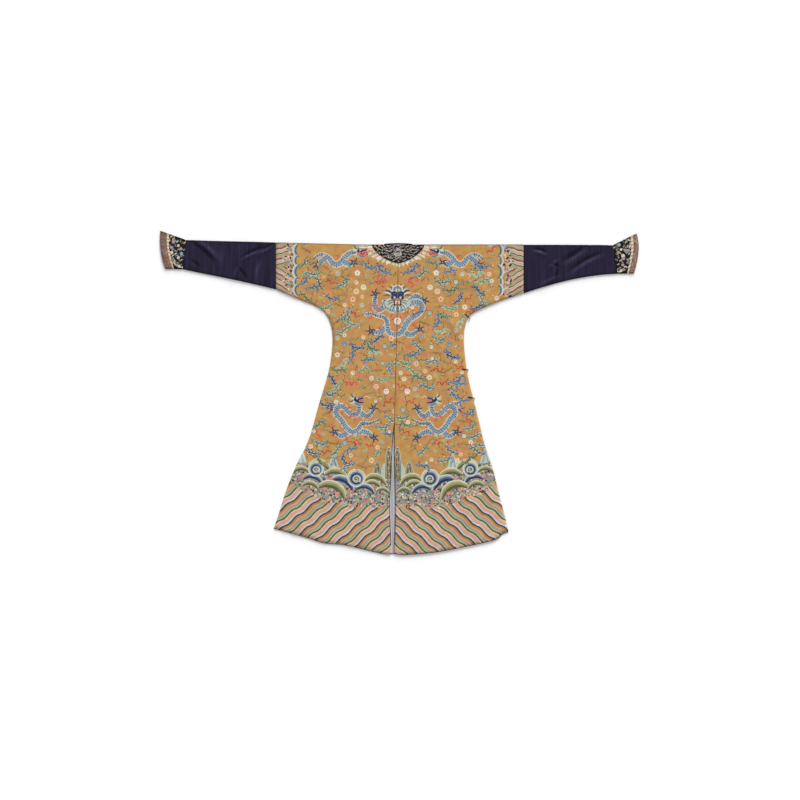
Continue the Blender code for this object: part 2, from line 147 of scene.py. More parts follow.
CLOTH = 1.0 * MM
THIN_CLOTH = 0.8 * MM
FOLD_RADIUS = 2.4 * MM
FOLD_LENGTH = math.pi * FOLD_RADIUS
FLOOR_GAP = 0.1 * MM
LAYER = 1.5 * MM
BACK_REST = 5.4 * MM
EDGE_ROLL = 14.0 * MM
HEM_ROLL = 7.0 * MM
EDGE_HEIGHT = 2.3 * MM
RIPPLE = 0.5 * MM
SEAM_DIP = 0.9 * MM
SEAM_REACH = 5.0 * MM
GRID = 0.011
SILK_GRID = 0.005
INNER_GRID = 0.012
SMALLEST_SHAPE = 1e-7

# ---------------------------------------------------------------- colours, as the eye sees them

COLOURS = {
    "ground": (190, 144, 86), "ground_dark": (142, 98, 58), "tan": (196, 164, 128),
    "navy": (46, 58, 92), "ink": (38, 36, 50), "blue": (84, 104, 134), "sky": (146, 164, 176),
    "teal": (66, 108, 110), "green": (106, 130, 92), "moss": (92, 92, 58), "sage": (164, 170, 132),
    "mint": (180, 192, 176), "cream": (222, 210, 182), "white": (226, 220, 208),
    "peach": (230, 184, 150), "coral": (210, 126, 100), "red": (192, 78, 62), "rose": (204, 132, 128),
    "pink": (214, 154, 132), "mauve": (164, 142, 144), "grey": (138, 140, 138), "gold": (188, 146, 78),
    "brown": (124, 98, 84), "soot": (32, 28, 32), "rim": (104, 78, 62), "navy_silk": (37, 32, 53),
    "ochre": (178, 130, 70), "pine": (66, 78, 58), "oat": (200, 182, 150), "pearl": (196, 192, 186),
    "olive": (142, 142, 96), "lining": (172, 172, 176),
}
EXPOSURE = 1.08


def linear(name):
    """A named colour for the shaders, allowing for the brightness of the light."""
    values = []
    for part in COLOURS[name]:
        part /= 255.0
        part = part / 12.92 if part <= 0.04045 else ((part + 0.055) / 1.055) ** 2.4
        values.append(part / EXPOSURE)
    return tuple(values) + (1.0,)


# ---------------------------------------------------------------- lines and outlines


def smooth_line(points, steps):
    """A soft curve through the points."""
    ends = [points[0]] + list(points) + [points[-1]]
    line = []
    for before, here, there, after in zip(ends, ends[1:], ends[2:], ends[3:]):
        for step in range(steps):
            t = step / steps
            line.append(tuple(
                0.5 * (2 * q + (r - p) * t + (2 * p - 5 * q + 4 * r - s) * t ** 2
                       + (3 * q - p - 3 * r + s) * t ** 3)
                for p, q, r, s in zip(before, here, there, after)))
    line.append(tuple(points[-1]))
    return line


def sided(side, points):
    """Points measured outwards from the centre, put on one side of the robe."""
    return [(SIGN[side] * x, y) for x, y in points]


def hem_down(x):
    """How far down the hem is at a place across the robe."""
    return float(np.interp(x, *zip(*HEM)))


def lowered(down, x):
    """`down` at a place across the skirt, where the rows run ever more along the hem."""
    ramp = min(1.0, max(0.0, (down - HEM_RAMP_START) / (SIDE_END - HEM_RAMP_START)))
    return down + ramp * (hem_down(x) - SIDE_END)


def side_line(side):
    """The side of the robe from the foot of the sleeve to the hem."""
    sign = SIGN[side]
    rows = [(sign * SLEEVE_SEAM[side], -SLEEVE_FOOT[side])]
    for row in SIDES:
        x = sign * getattr(row, side)
        rows.append((x, -lowered(row.down, x)))
    return smooth_line(rows, 5)


def hem_line(side, start):
    """The hem from the centre, at `start`, to the corner."""
    sign = SIGN[side]
    rows = [row for row in HEM if sign * row[0] > sign * start + 0.02]
    if side == "left":
        rows = rows[::-1]
    points = [(start, -hem_down(start))] + [(x, -down) for x, down in rows]
    return smooth_line(points, 5)


def centre_line(side):
    """The centre edge of a back panel, down the seam and the vent."""
    return [(middle + SIGN[side] * gap, -down) for down, middle, gap in VENT[:-1]]


def shoulder(x):
    """Height of the shoulder line in plan."""
    x = np.asarray(x, dtype=float)
    rise = np.where(x < 0.0, SHOULDER_RISE["left"], SHOULDER_RISE["right"])
    return rise * np.maximum(0.0, np.abs(x) - RISE_START)


def section_line(section, steps=8):
    """Points down a section from the top fold to the foot."""
    line = []
    for step in range(steps + 1):
        t = step / steps
        line.append(tuple((1 - t) ** 2 * a + 2 * t * (1 - t) * b + t * t * c
                          for a, b, c in zip(section.top, section.bulge, section.foot)))
    return line


def bounds_of(points):
    """The low and high corners of some points."""
    points = np.array(points)
    return points.min(axis=0), points.max(axis=0)


def area_of(points):
    """Signed area of an outline."""
    return 0.5 * sum(a[0] * b[1] - b[0] * a[1] for a, b in zip(points, points[1:] + points[:1]))


# ---------------------------------------------------------------- drawing on flat cloth


class Design:
    """Coloured shapes on flat cloth; a later one covers an earlier one."""

    def __init__(self, ground, fine=True):
        self.ground = ground
        self.fine = fine
        self.shapes = []
        self.taken = []

    def add(self, points, colour):
        """Paints a simple outline; four corners are painted as their hull, so a bend never crosses itself."""
        points = list(points)
        if len(points) == 4:
            points = [points[k] for k in convex_hull_2d(points)]
        if len(points) > 2 and abs(area_of(points)) > SMALLEST_SHAPE:
            self.shapes.append((points if area_of(points) > 0 else points[::-1], colour))

    def free(self, x, y, radius):
        """Whether a circle keeps clear of the figures so far."""
        return all((x - a) ** 2 + (y - b) ** 2 > (radius + r) ** 2 for a, b, r in self.taken)

    def take(self, x, y, radius):
        """Keeps later filling motifs out of a circle."""
        self.taken.append((x, y, radius))


class Pen:
    """Draws in millimetres about a place on the cloth, turned, scaled or flipped."""

    def __init__(self, design, x, y, size=1.0, degrees=0.0, flip=1.0):
        self.design = design
        self.x = x
        self.y = y
        self.size = size
        self.degrees = degrees
        self.flip = flip
        turn = math.radians(degrees)
        self.cos = math.cos(turn) * size * MM
        self.sin = math.sin(turn) * size * MM

    def spot(self, u, v):
        """A place on the cloth from the pen's own coordinates."""
        u *= self.flip
        return (self.x + u * self.cos - v * self.sin, self.y + u * self.sin + v * self.cos)

    def at(self, u, v, size=1.0, degrees=0.0, flip=1.0):
        """A pen for a part of the motif."""
        x, y = self.spot(u, v)
        return Pen(self.design, x, y, self.size * size, self.degrees + self.flip * degrees,
                   self.flip * flip)

    def shape(self, points, colour):
        """A filled outline."""
        self.design.add([self.spot(u, v) for u, v in points], colour)

    def disc(self, u, v, radius, colour, tall=1.0, count=9):
        """A filled circle, or an ellipse `tall` times as high as it is wide."""
        turns = [2 * math.pi * (k + 0.5) / count for k in range(count)]
        self.shape([(u + radius * math.cos(t), v + radius * tall * math.sin(t)) for t in turns], colour)

    def line(self, points, widths, colour, steps=3):
        """A soft line through the points; `widths` are half widths from its start to its end."""
        steps = steps if self.design.fine else max(1, steps // 2)
        path = smooth_line(points, steps) if len(points) > 2 else list(points)
        marks = np.linspace(0.0, 1.0, len(widths))
        sides = []
        for k, (u, v) in enumerate(path):
            a = path[max(0, k - 1)]
            b = path[min(len(path) - 1, k + 1)]
            length = math.hypot(b[0] - a[0], b[1] - a[1]) or 1.0
            half = float(np.interp(k / (len(path) - 1), marks, widths))
            du = -(b[1] - a[1]) / length * half
            dv = (b[0] - a[0]) / length * half
            sides.append(((u + du, v + dv), (u - du, v - dv)))
        for (a, b), (c, d) in zip(sides, sides[1:]):
            self.shape([a, c, d, b], colour)

    def discs(self, *rows):
        """Filled circles in turn."""
        for row in rows:
            self.disc(*row)

    def lines(self, *rows):
        """Soft lines in turn, each a colour, half widths and then its points."""
        for colour, widths, *points in rows:
            self.line(points, widths, colour)


def arc(radius, start, end, count):
    """Points along an arc about the pen, with angles in degrees."""
    turns = [math.radians(start + (end - start) * k / (count - 1)) for k in range(count)]
    return [(radius * math.cos(t), radius * math.sin(t)) for t in turns]


# ---------------------------------------------------------------- motifs

CLOUD_PATHS = (
    ((-42, 12), (-28, 19), (-14, 10), (-24, -2), (-4, -6), (14, -13), (28, -4), (42, -12)),
    ((-40, -14), (-24, -18), (-12, -8), (4, -12), (18, 0), (6, 10), (24, 17), (42, 10)),
    ((-38, 2), (-26, 14), (-10, 8), (2, -4), (16, -15), (30, -6), (42, -14)),
    ((-36, -12), (-22, -4), (-32, 8), (-12, 15), (8, 4), (24, 12), (40, 2)),
)


def cloud(pen, dark, mid, light, kind):
    """A drifting cloud: a dark ribbon with a pale heart, and beads along both sides."""
    points = CLOUD_PATHS[kind % len(CLOUD_PATHS)]
    pen.line(points, (2.0, 7.2, 8.6, 7.6, 2.0), light, 1)
    path = smooth_line(points, 2)
    for k, (a, spot, b) in enumerate(zip(path, path[1:], path[2:])):
        length = math.hypot(b[0] - a[0], b[1] - a[1]) or 1.0
        side = (7.0 if k % 2 else -7.0) / length
        u = spot[0] - side * (b[1] - a[1])
        v = spot[1] + side * (b[0] - a[0])
        pen.disc(u, v, 3.8, mid if k % 3 == 1 else dark, count=5)
    pen.line(points, (1.0, 2.6, 3.2, 2.6, 1.0), mid if kind % 2 else dark, 1)


def sprig(pen, leaf, bud):
    """A small curl of leaf with a bud."""
    pen.line(((-12, -3), (-3, 4), (4, -2), (12, 4)), (1.0, 3.0, 1.0), leaf, 1)
    pen.disc(-4, 6, 3.8, bud, count=4)


def scroll(pen, dye):
    """A ribbon in loops."""
    pen.line(((-32, 2), (-24, 11), (-13, 5), (-9, -7), (2, -3), (6, 8), (17, 9), (22, -3), (32, -7)),
             (1.2, 3.2, 3.4, 3.2, 1.2), dye, 1)
    for u, v in ((-19, 4), (1, 5), (15, 1)):
        pen.disc(u, v, 3.2, dye, count=6)


def tendrils(pen, dye):
    """A scroll of thin curls, darker than the ground."""
    pen.line(((-30, 4), (-20, -5), (-10, 4), (0, -4), (10, 5), (20, -3), (30, 2)),
             (0.8, 2.2, 2.2, 0.8), dye, 1)
    for u, v in ((-20, 3), (0, 4), (20, 5)):
        pen.disc(u, v, 3.4, dye, 0.8, 5)


def faded_flower(pen, dye):
    """A soft flower whose dye has faded."""
    pen.discs((0, 0, 11.0, dye, 0.8, 9), (-9, 3, 6.0, "tan", 0.8, 7), (3, 1, 4.0, "sage", 1.0, 6))


def petals(pen, turns, across, up, radius, dyes):
    """Round petals about the pen, at these angles in degrees."""
    for k, degrees in enumerate(turns):
        t = math.radians(degrees)
        pen.disc(across * math.cos(t), up * math.sin(t), radius, dyes[k % len(dyes)], count=8)


def blossom(pen, petal, heart):
    """Five round petals about a heart."""
    petals(pen, [90 + 72 * k for k in range(5)], 7.5, 7.5, 5.8, (petal,))
    pen.discs((0, 0, 6.0, petal), (0, 0, 3.6, heart, 1.0, 7))


def roundel(pen, ring, face, mark):
    """A coin or bead: a ring, a pale face and a mark."""
    pen.discs((0, 0, 12.5, ring, 1.0, 12), (0, 0, 10.0, face, 1.0, 12))
    pen.line(arc(5, -40, 220, 6), (0.8, 1.4, 0.8), mark, 1)


def bat(pen):
    """A red bat with curled wings, for luck."""
    for flip in (1, -1):
        pen.at(0, 0, flip=flip).lines(
            ("red", (2.6, 3.6, 3.2, 1.4), (1, 2), (9, 10), (19, 8), (23, -2)),
            ("coral", (2.0, 2.8, 1.0), (5, -1), (13, 1), (18, -7)),
            ("peach", (0.9, 0.9), (9, 9), (18, 6)))
    pen.discs((0, 2, 5.0, "red", 1.3), (0, 7, 3.0, "coral", 1.0, 6))
    pen.line(((0, -3), (2, -9), (-2, -13)), (2.2, 1.6, 0.6), "coral")


def peony(pen):
    """A red peony in green leaves."""
    for degrees in (-150, -70, -20, 40, 130, 185):
        pen.at(0, 0, degrees=degrees).lines(("green", (2.0, 4.4, 0.6), (10, 0), (19, 3), (28, 0)),
                                            ("sage", (0.7, 0.7), (12, 0), (24, 1)))
    petals(pen, [51.4 * k for k in range(7)], 9.5, 8.0, 6.0, ("red", "coral"))
    pen.discs((0, 0, 8.0, "red"), (0, 0, 5.4, "coral"), (0, 0.5, 2.6, "peach", 1.0, 6))


def flame(pen, length):
    """A licking red flame beside a dragon or pearl."""
    pen.lines(
        ("coral", (3.4, 3.0, 2.2, 0.5), (0, 0), (0.3 * length, 4), (0.6 * length, -3), (length, 3)),
        ("red", (1.2, 1.2, 0.5), (0, 0), (0.3 * length, 3), (0.6 * length, -3)),
        ("red", (2.2, 1.6, 0.4), (0.25 * length, 3), (0.4 * length, 10), (0.62 * length, 11)),
        ("coral", (2.0, 1.4, 0.4), (0.55 * length, -3), (0.7 * length, -9), (0.9 * length, -8)))


def pearl(pen, radius):
    """The flaming pearl that the dragons chase."""
    for degrees in (35, 145, 265):
        flame(pen.at(0, 0, degrees=degrees).at(radius * 0.9, 0), radius * 1.5)
    pen.discs((0, 0, radius * 1.15, "mauve", 1.0, 14), (0, 0, radius, "white", 1.0, 14))
    pen.line(arc(radius * 0.45, -60, 200, 7), (0.9, 1.8, 1.2), "coral", 1)


def claw(pen):
    """A five-clawed foot."""
    for degrees, length in ((8, 26), (72, 24), (128, 27), (200, 23), (292, 25)):
        pen.at(0, 0, degrees=degrees).lines(
            ("navy", (4.0, 2.8, 0.6), (2, 0), (0.55 * length, 2.5), (length, -1.5)),
            ("blue", (0.9, 0.6), (4, 1), (0.5 * length, 2.5)))
    pen.discs((0, 0, 7.0, "navy"), (0, 0, 3.0, "sky", 1.0, 7))


SCALE_PITCH = 6.0


def scales(pen, points, widths, spine="coral"):
    """A dragon's body: a pale outline, dark checks on blue, and fins along one side."""
    path = smooth_line(points, 7)
    marks = np.linspace(0.0, 1.0, len(widths))
    pen.line(points, [w + 2.8 for w in widths], "cream", 4)
    gone = 0.0
    spots = []
    for number, (a, b) in enumerate(zip(path, path[1:])):
        step = math.hypot(b[0] - a[0], b[1] - a[1])
        gone += step
        if gone > SCALE_PITCH and step > 0:
            gone = 0.0
            half = float(np.interp(number / len(path), marks, widths))
            spots.append((*b, (b[0] - a[0]) / step, (b[1] - a[1]) / step, half))
    for k, (u, v, du, dv, half) in enumerate(spots):
        if k % 2:
            reach = half + 7.0
            pen.shape([(u + dv * half - du * 5, v - du * half - dv * 5),
                       (u + dv * reach + du * 2, v - du * reach + dv * 2),
                       (u + dv * half + du * 4, v - du * half + dv * 4)],
                      (spine, "rose", "mint")[k % 3])
    pen.line(points, widths, "sky", 4)
    for k, (u, v, du, dv, half) in enumerate(spots):
        for across in ((-0.68, 0.0, 0.68) if k % 2 else (-0.34, 0.34)):
            a = u - dv * half * across
            b = v + du * half * across
            pen.shape([(a - 3.3 * dv, b + 3.3 * du), (a - 3.6 * du, b - 3.6 * dv),
                       (a + 3.3 * dv, b - 3.3 * du), (a + 2.4 * du, b + 2.4 * dv)],
                      "navy" if (k + round(across * 3)) % 3 else "teal")


def face_front(pen):
    """The head of the dragon that looks out of the cloth."""
    pen.disc(0, -28, 58, "mint", 0.5, 18)
    for k in range(12):
        for flip in (1, -1):
            beard = pen.at(0, -14, degrees=flip * (-88 + 8 * k), flip=flip)
            beard.line(((16, 0), (34, 3), (54 - 0.8 * k, -1)), (3.0, 2.8, 0.8),
                       ("teal", "cream", "sky", "green", "pearl")[k % 5], 1)
    for k in range(7):
        for flip in (1, -1):
            hair = pen.at(0, 4, degrees=flip * (2 + 12 * k), flip=flip)
            hair.line(((22, 0), (44, 3), (66 - 2.0 * k, -1)), (4.6, 3.6, 0.8),
                      ("teal", "cream", "navy", "mint")[k % 4], 1)
    pen.discs((0, 30, 25, "cream", 0.95, 14), (0, 29, 21, "sky", 0.9, 12))
    for k in range(7):
        turn = math.radians(20 + 23.3 * k)
        pen.disc(16 * math.cos(turn), 28 + 15 * math.sin(turn), 3.0, "blue", count=6)
    pen.discs((0, 28, 9.0, "white", 0.8, 9), (0, 27, 5.0, "gold", 0.8, 7))
    pen.shape(((-29, 12), (-25, 22), (-13, 25), (0, 20), (13, 25), (25, 22), (29, 12), (28, -8),
               (20, -17), (-20, -17), (-28, -8)), "navy")
    for flip in (1, -1):
        half = pen.at(0, 0, flip=flip)
        half.line(((3, 13), (12, 16), (21, 11)), (1.4, 2.2, 0.8), "blue")
        half.discs((13.0, -2.5, 5.2, "pearl", 1.2, 7), (11.5, 0.0, 2.2, "ink", 1.0, 5))
        half.lines(("coral", (3.0, 2.4, 0.8), (24, 4), (31, 6), (34, 0)),
                   ("coral", (1.8, 1.5, 0.5), (8, -12), (26, -13), (42, -4)))
    pen.shape(((-4, 10), (4, 10), (7, -8), (-7, -8)), "navy")
    pen.discs((0, -11, 8.0, "coral", 0.62), (0, -10, 3.4, "peach", 0.7, 6))
    pen.shape(((-17, -15), (17, -15), (16, -38), (-16, -38)), "ink")
    pen.shape(((-11.5, -17), (11.5, -17), (11, -33), (-11, -33)), "peach")
    pen.disc(0, -27, 6.0, "red", 0.6, 7)
    for u in (-9, -3, 3, 9):
        pen.shape(((u - 2.2, -16.5), (u + 2.2, -16.5), (u, -21)), "white")


def face_side(pen):
    """The head of a dragon in profile, looking along +u."""
    for k in range(7):
        hair = pen.at(-8, 3, degrees=112 + 20 * k)
        hair.line(((9, 0), (22, 4), (35, -1)), (3.4, 2.6, 0.6), ("mint", "teal", "cream")[k % 3])
    pen.lines(("sky", (6.0, 5.0, 1.0), (-14, -12), (2, -24), (20, -20)),
              ("teal", (2.4, 2.2, 0.6), (-12, -12), (4, -22), (18, -19)))
    pen.discs((-6, 3, 14.5, "cream", 0.95, 11), (-6, 3, 13.0, "navy", 0.95, 11))
    pen.lines(("navy", (8.5, 6.5, 4.0), (-2, 6), (12, 8), (25, 12)),
              ("sky", (1.4, 1.4, 0.8), (-2, 9), (12, 11), (22, 14)))
    pen.discs((27, 13, 5.6, "red"), (29, 15, 2.6, "rose", 1.0, 6))
    pen.line(((-4, -6), (12, -11), (28, -9)), (5.0, 3.4, 1.2), "navy")
    pen.shape(((4, 1), (25, 6), (26, -6), (8, -6)), "rose")
    pen.line(((8, -2), (20, 0), (27, -3)), (1.8, 1.4, 0.5), "red")
    pen.discs((-4, 8, 4.6, "white", 1.0, 8), (-3, 8, 2.2, "ink", 1.0, 6))
    pen.lines(("gold", (2.6, 2.0, 0.6), (-12, 14), (-16, 26), (-28, 32)),
              ("cream", (1.6, 1.6, 1.2, 0.4), (24, 10), (38, 18), (46, 10), (56, 14)))


def limb(pen, foot_degrees, *points):
    """A dragon's leg, ending in a claw."""
    scales(pen, points, (12.0, 11.0, 6.5), "rose")
    u, v = points[-1]
    du = u - points[-2][0]
    dv = v - points[-2][1]
    reach = 8.0 / math.hypot(du, dv)
    claw(pen.at(u + du * reach, v + dv * reach, degrees=foot_degrees))


WHISKER = ((0, -8), (14, -14), (18, 6), (8, 12), (20, 16), (36, 8), (32, -10), (44, -12), (54, 6), (50, 14),
           (72, 8), (98, 10))


def front_dragon(pen):
    """The great dragon between the shoulders, face on, coiled about the pearl."""
    limb(pen, 70, (-50, -26), (-74, -56), (-98, -48), (-100, -20), (-97, 6))
    limb(pen, -20, (44, -30), (66, -6), (88, 4), (112, -14))
    limb(pen, 170, (-46, -126), (-76, -156), (-110, -150))
    limb(pen, 20, (24, -146), (56, -168), (92, -146))
    scales(pen, ((-56, -10), (-50, -40), (-20, -58), (24, -52), (62, -26), (96, -26), (108, -50), (88, -76),
                 (54, -98), (34, -126), (18, -154), (-8, -166), (-40, -154), (-45, -118), (-56, -92),
                 (-92, -82), (-118, -72), (-150, -78)),
           (8, 10, 11, 12, 12, 12, 11, 10, 9, 6, 3))
    pearl(pen.at(0, -106), 15.5)
    for u, v, degrees, reach in ((-74, -62, 160, 30), (64, -62, 10, 26), (-70, -130, 200, 30),
                                 (58, -126, -10, 32), (118, -66, 20, 28), (-108, -98, 120, 26),
                                 (-22, -76, 200, 24), (24, -74, -20, 24)):
        flame(pen.at(u, v, degrees=degrees, size=1.1), reach)
    for flip in (1, -1):
        whisker = pen.at(52 * flip, 48, degrees=flip * 52, flip=flip)
        for k, dye in enumerate(("coral", "red")):
            whisker.line(WHISKER, (4.4 - 2.6 * k, 4.0 - 2.4 * k, 3.0 - 1.8 * k, 0.8), dye, 2)
    face_front(pen)


def striding_dragon(pen):
    """A dragon in profile over the waves, turned towards the pearl."""
    limb(pen, 50, (10, -52), (34, -72), (52, -64), (66, -42))
    limb(pen, 165, (-80, -30), (-96, -16), (-110, -30))
    limb(pen, 175, (-40, -134), (-70, -158), (-98, -142))
    limb(pen, -40, (-24, -146), (14, -138), (44, -144), (64, -162))
    scales(pen, ((6, -18), (4, -46), (-14, -66), (-40, -54), (-66, -28), (-92, -34), (-96, -62), (-74, -86),
                 (-54, -118), (-26, -140), (0, -128), (18, -102), (42, -104), (66, -98), (92, -86)),
           (8, 10, 11, 11, 11, 11, 11, 10, 8, 5, 2.5))
    for u, v, degrees in ((-30, -34, 150), (-62, -46, 200), (-20, -96, 30), (30, -84, 10), (-40, -78, 20),
                          (-100, -112, 170), (-52, -160, 250), (24, -156, -60), (-122, -62, 120)):
        flame(pen.at(u, v, degrees=degrees), 32)
    face_side(pen)


def shoulder_dragon(pen):
    """The dragon that lies along the shoulder, its back half on the near side of the fold."""
    scales(pen, ((-96, -14), (-64, 2), (-34, -14), (-8, -46), (22, -50), (44, -22), (78, -8), (108, -26)),
           (5, 9, 12, 13, 12, 10, 7, 3))
    limb(pen, 190, (-20, -36), (-44, -52), (-60, -46))
    limb(pen, -40, (52, -20), (74, -36), (88, -50))
    flame(pen.at(-8, -14, degrees=-30), 32)
    face_side(pen.at(-100, 4, flip=-1))


# ---------------------------------------------------------------- the sea at the hem


def curl(pen, r, core="navy"):
    """A breaking wave of radius `r` seen end on: a pale crest round a dark curl with a white heart."""
    for drop, share, dye, count in (
            (0.0, 1.06, "cream", 20), (0.02, 0.97, "mint", 18), (0.06, 0.82, "sky", 16),
            (0.08, 0.74, "blue", 16), (0.12, 0.62, core, 16)):
        pen.disc(0, -drop * r, r * share, dye, 1.0, count)
    pen.disc(0.02 * r, -0.14 * r, r * 0.44, "sage", 1.0, 14)
    spiral = []
    for k in range(9):
        turn = math.radians(225 - 50 * k)
        reach = r * (0.5 - 0.052 * k)
        spiral.append((reach * math.cos(turn), reach * math.sin(turn) - 0.12 * r))
    pen.line(spiral, (0.12 * r, 0.1 * r, 0.08 * r, 0.06 * r), "pearl", 3)
    pen.line([(0.66 * u, 0.66 * v - 0.04 * r) for u, v in spiral], (0.03 * r, 0.06 * r, 0.05 * r), core, 2)


SWELL = ((-1.0, -0.52), (-0.62, -0.12), (-0.08, 0.12), (0.5, 0.08), (1.0, -0.2))


def crest(pen, reach, dark, middle, pale):
    """A rolling swell: a long arch, light along its top and dark below."""
    for drop, thick, colour in ((0.0, 0.29, "cream"), (0.05, 0.25, pale), (0.12, 0.185, middle),
                                (0.19, 0.11, dark)):
        points = [(reach * u, reach * (v - drop)) for u, v in SWELL]
        full = thick * reach
        pen.line(points, (0.25 * full, 0.85 * full, full, 0.9 * full, 0.35 * full), colour, 4)


ROCK_ROWS = ("mint", "teal", "tan", "ink", "olive")


def peak(pen, height, half_width):
    """A standing rock: narrow, round at the top, with lines down it and beads between them."""
    for k, colour in enumerate(ROCK_ROWS):
        w = half_width * (1.0 - 0.17 * k)
        h = height * (1.0 - 0.045 * k)
        pen.shape(((-w, 0), (-0.92 * w, 0.45 * h), (-0.66 * w, 0.78 * h), (-0.26 * w, 0.96 * h), (0, h),
                   (0.26 * w, 0.96 * h), (0.66 * w, 0.78 * h), (0.92 * w, 0.45 * h), (w, 0)), colour)
    for k in range(int(height / 9)):
        pen.disc(3.0 * (-1) ** k, 6 + 8.4 * k, 2.6, ("brown", "navy", "peach")[k % 3], 1.2, 5)


def mist(pen, height):
    """Pale spray standing above the waves."""
    for w, part, colour in ((26, 1.0, "mint"), (17, 0.8, "sky"), (8, 0.5, "mint")):
        h = height * part
        pen.shape(((-w, 0), (-0.55 * w, 0.5 * h), (0, h), (0.4 * w, 0.62 * h), (w, 0)), colour)


FOAM_COLOURS = ("sage", "tan", "cream", "rose", "grey", "ink", "peach", "olive", "pearl", "teal", "grey",
                "coral", "tan", "grey", "moss", "oat", "mauve", "navy", "green", "ink")


def foam(design, rng, region, spacing):
    """Bubbles, petals and treasures tumbling on the sea; `region` says where they may lie."""
    low, high, inside = region
    y = low[1]
    while y < high[1]:
        x = low[0]
        while x < high[0]:
            a = x + rng.uniform(-0.4, 0.4) * spacing
            b = y + rng.uniform(-0.4, 0.4) * spacing
            if inside(a, b):
                pen = Pen(design, a, b, spacing / 0.0086 * rng.uniform(0.75, 1.25), rng.uniform(0, 180))
                pen.disc(0, 0, 5.6, rng.choice(FOAM_COLOURS), rng.uniform(0.5, 0.9), 5)
            x += spacing
        y += spacing


# The bands of one period of the standing water, from the top, with their share of it.
STRIPES = (("navy", 0.095), ("ochre", 0.13), ("tan", 0.1), ("mauve", 0.09), ("sage", 0.12),
           ("pine", 0.09), ("oat", 0.12), ("pink", 0.13), ("pearl", 0.125))
STRIPE_PERIOD = 0.085
SEA_CENTRE = -0.022


def standing_water(design, side):
    """Wavy stripes below the waves, which run down and out from the centre."""
    step = 0.014 if design.fine else 0.028

    def spot(q, u):
        slope = 0.93 * u - 0.18 * u * u
        down = q + slope + 0.005 * math.sin(2 * math.pi * (u + 0.5 * q) / 0.066)
        return (SEA_CENTRE + SIGN[side] * u, -down)

    for k in range(int(0.95 / STRIPE_PERIOD) + 1):
        low = 0.66 + k * STRIPE_PERIOD
        for colour, share in STRIPES:
            high = low + share * STRIPE_PERIOD
            for n in range(int(0.56 / step) + 1):
                u = n * step
                w = u + step
                x, y = spot((low + high) / 2, u + step / 2)
                if sea_top(x) <= -y <= hem_down(x) + 0.02:
                    design.add([spot(low, u), spot(low, w), spot(high, w), spot(high, u)], colour)
            low = high


def sea_top(x):
    """Where the stripes start, in metres down: deeper at the centre than at the sides."""
    return 1.138 - 1.18 * max(0.0, abs(x + 0.02) - 0.15) ** 2 + 0.006 * math.sin(x * 55.0)


def foam_top(x):
    """Where the sea starts, in metres down."""
    return 1.035 - 0.47 * (x + 0.02) ** 2


# Swells and curls of one half, from the vent outwards, far ones first.
Wave = namedtuple("Wave", "across down size tilt kind")
WAVES = [Wave(*row) for row in (
    (0.322, 0.96, 48, 4, "green"), (0.245, 1.0, 50, 8, "green"), (0.41, 0.985, 36, -12, "green"),
    (0.076, 1.022, 46, 4, "green"), (0.087, 1.046, 36, 6, "green"), (0.122, 1.064, 40, 4, "blue"),
    (0.215, 1.036, 54, 20, "blue"), (0.352, 1.02, 42, 6, "blue"), (0.262, 1.062, 62, 16, "green"),
    (0.362, 1.05, 36, 4, "green"), (0.045, 1.075, 30, 0, "green"), (0.339, 0.984, 33, 0, "curl"),
    (0.162, 1.024, 38, 0, "curl"),
)]
WATERS = {"green": ("moss", "olive", "sage"), "blue": ("navy", "blue", "sky")}
SEA_FLOWERS = ((0.185, 1.085), (0.245, 1.092), (0.3, 1.072), (0.395, 1.015), (0.275, 1.028))


def sea(design, side, rng):
    """Stripes, waves, foam and mountains on one half of the skirt."""
    sign = SIGN[side]
    standing_water(design, side)

    def pen_at(across, down, size=1.0, degrees=0.0, flip=1.0):
        return Pen(design, SEA_CENTRE + sign * across, -down, size, degrees, flip)

    def inside(x, y):
        beside_vent = 0.045 if abs(x - SEA_CENTRE) < 0.035 else 0.0
        return sign * (x - SEA_CENTRE) > 0 and foam_top(x) - beside_vent < -y < sea_top(x) + 0.014

    for k in range(14):
        a = SEA_CENTRE + sign * 0.04 * k
        b = a + sign * 0.04
        design.add([(a, 0.012 - foam_top(a)), (b, 0.012 - foam_top(b)), (b, -sea_top(b)), (a, -sea_top(a))],
                   "grey")
    mist(pen_at(0.262, 0.985), 80)
    mist(pen_at(0.405, 0.96), 80)
    for k in range(5):
        pen_at(0.036 + 0.004 * k, 0.985 + 0.012 * k).disc(0, 0, 13, "mint", 2.0, 9)
    foam(design, rng, ((min(0, sign) * 0.56, -1.16), (max(0, sign) * 0.56, -0.9), inside),
         0.0074 if design.fine else 0.034)
    peak(pen_at(0.019, 1.03), 146, 19)
    peak(pen_at(0.07, 1.022), 70, 20)
    for wave in WAVES:
        pen = pen_at(wave.across, wave.down, degrees=sign * wave.tilt, flip=sign)
        if wave.kind == "curl":
            curl(pen, wave.size)
        else:
            crest(pen, wave.size, *WATERS[wave.kind])
    for across, down in SEA_FLOWERS:
        pen_at(across, down, 0.75, flip=sign).discs(
            (0, 0, 17, "rose", 0.55, 9), (0, 0, 12, "coral", 0.5, 8), (0, 0, 4, "peach", 0.8, 6))


# ---------------------------------------------------------------- the ground between the dragons

CLOUD_PITCH = 0.057
CLOUD_DYES = (
    ("navy", "blue", "mint"), ("teal", "green", "mint"), ("navy", "teal", "sky"), ("green", "sage", "mint"),
    ("navy", "blue", "sky"), ("moss", "teal", "sage"), ("teal", "navy", "mint"),
)


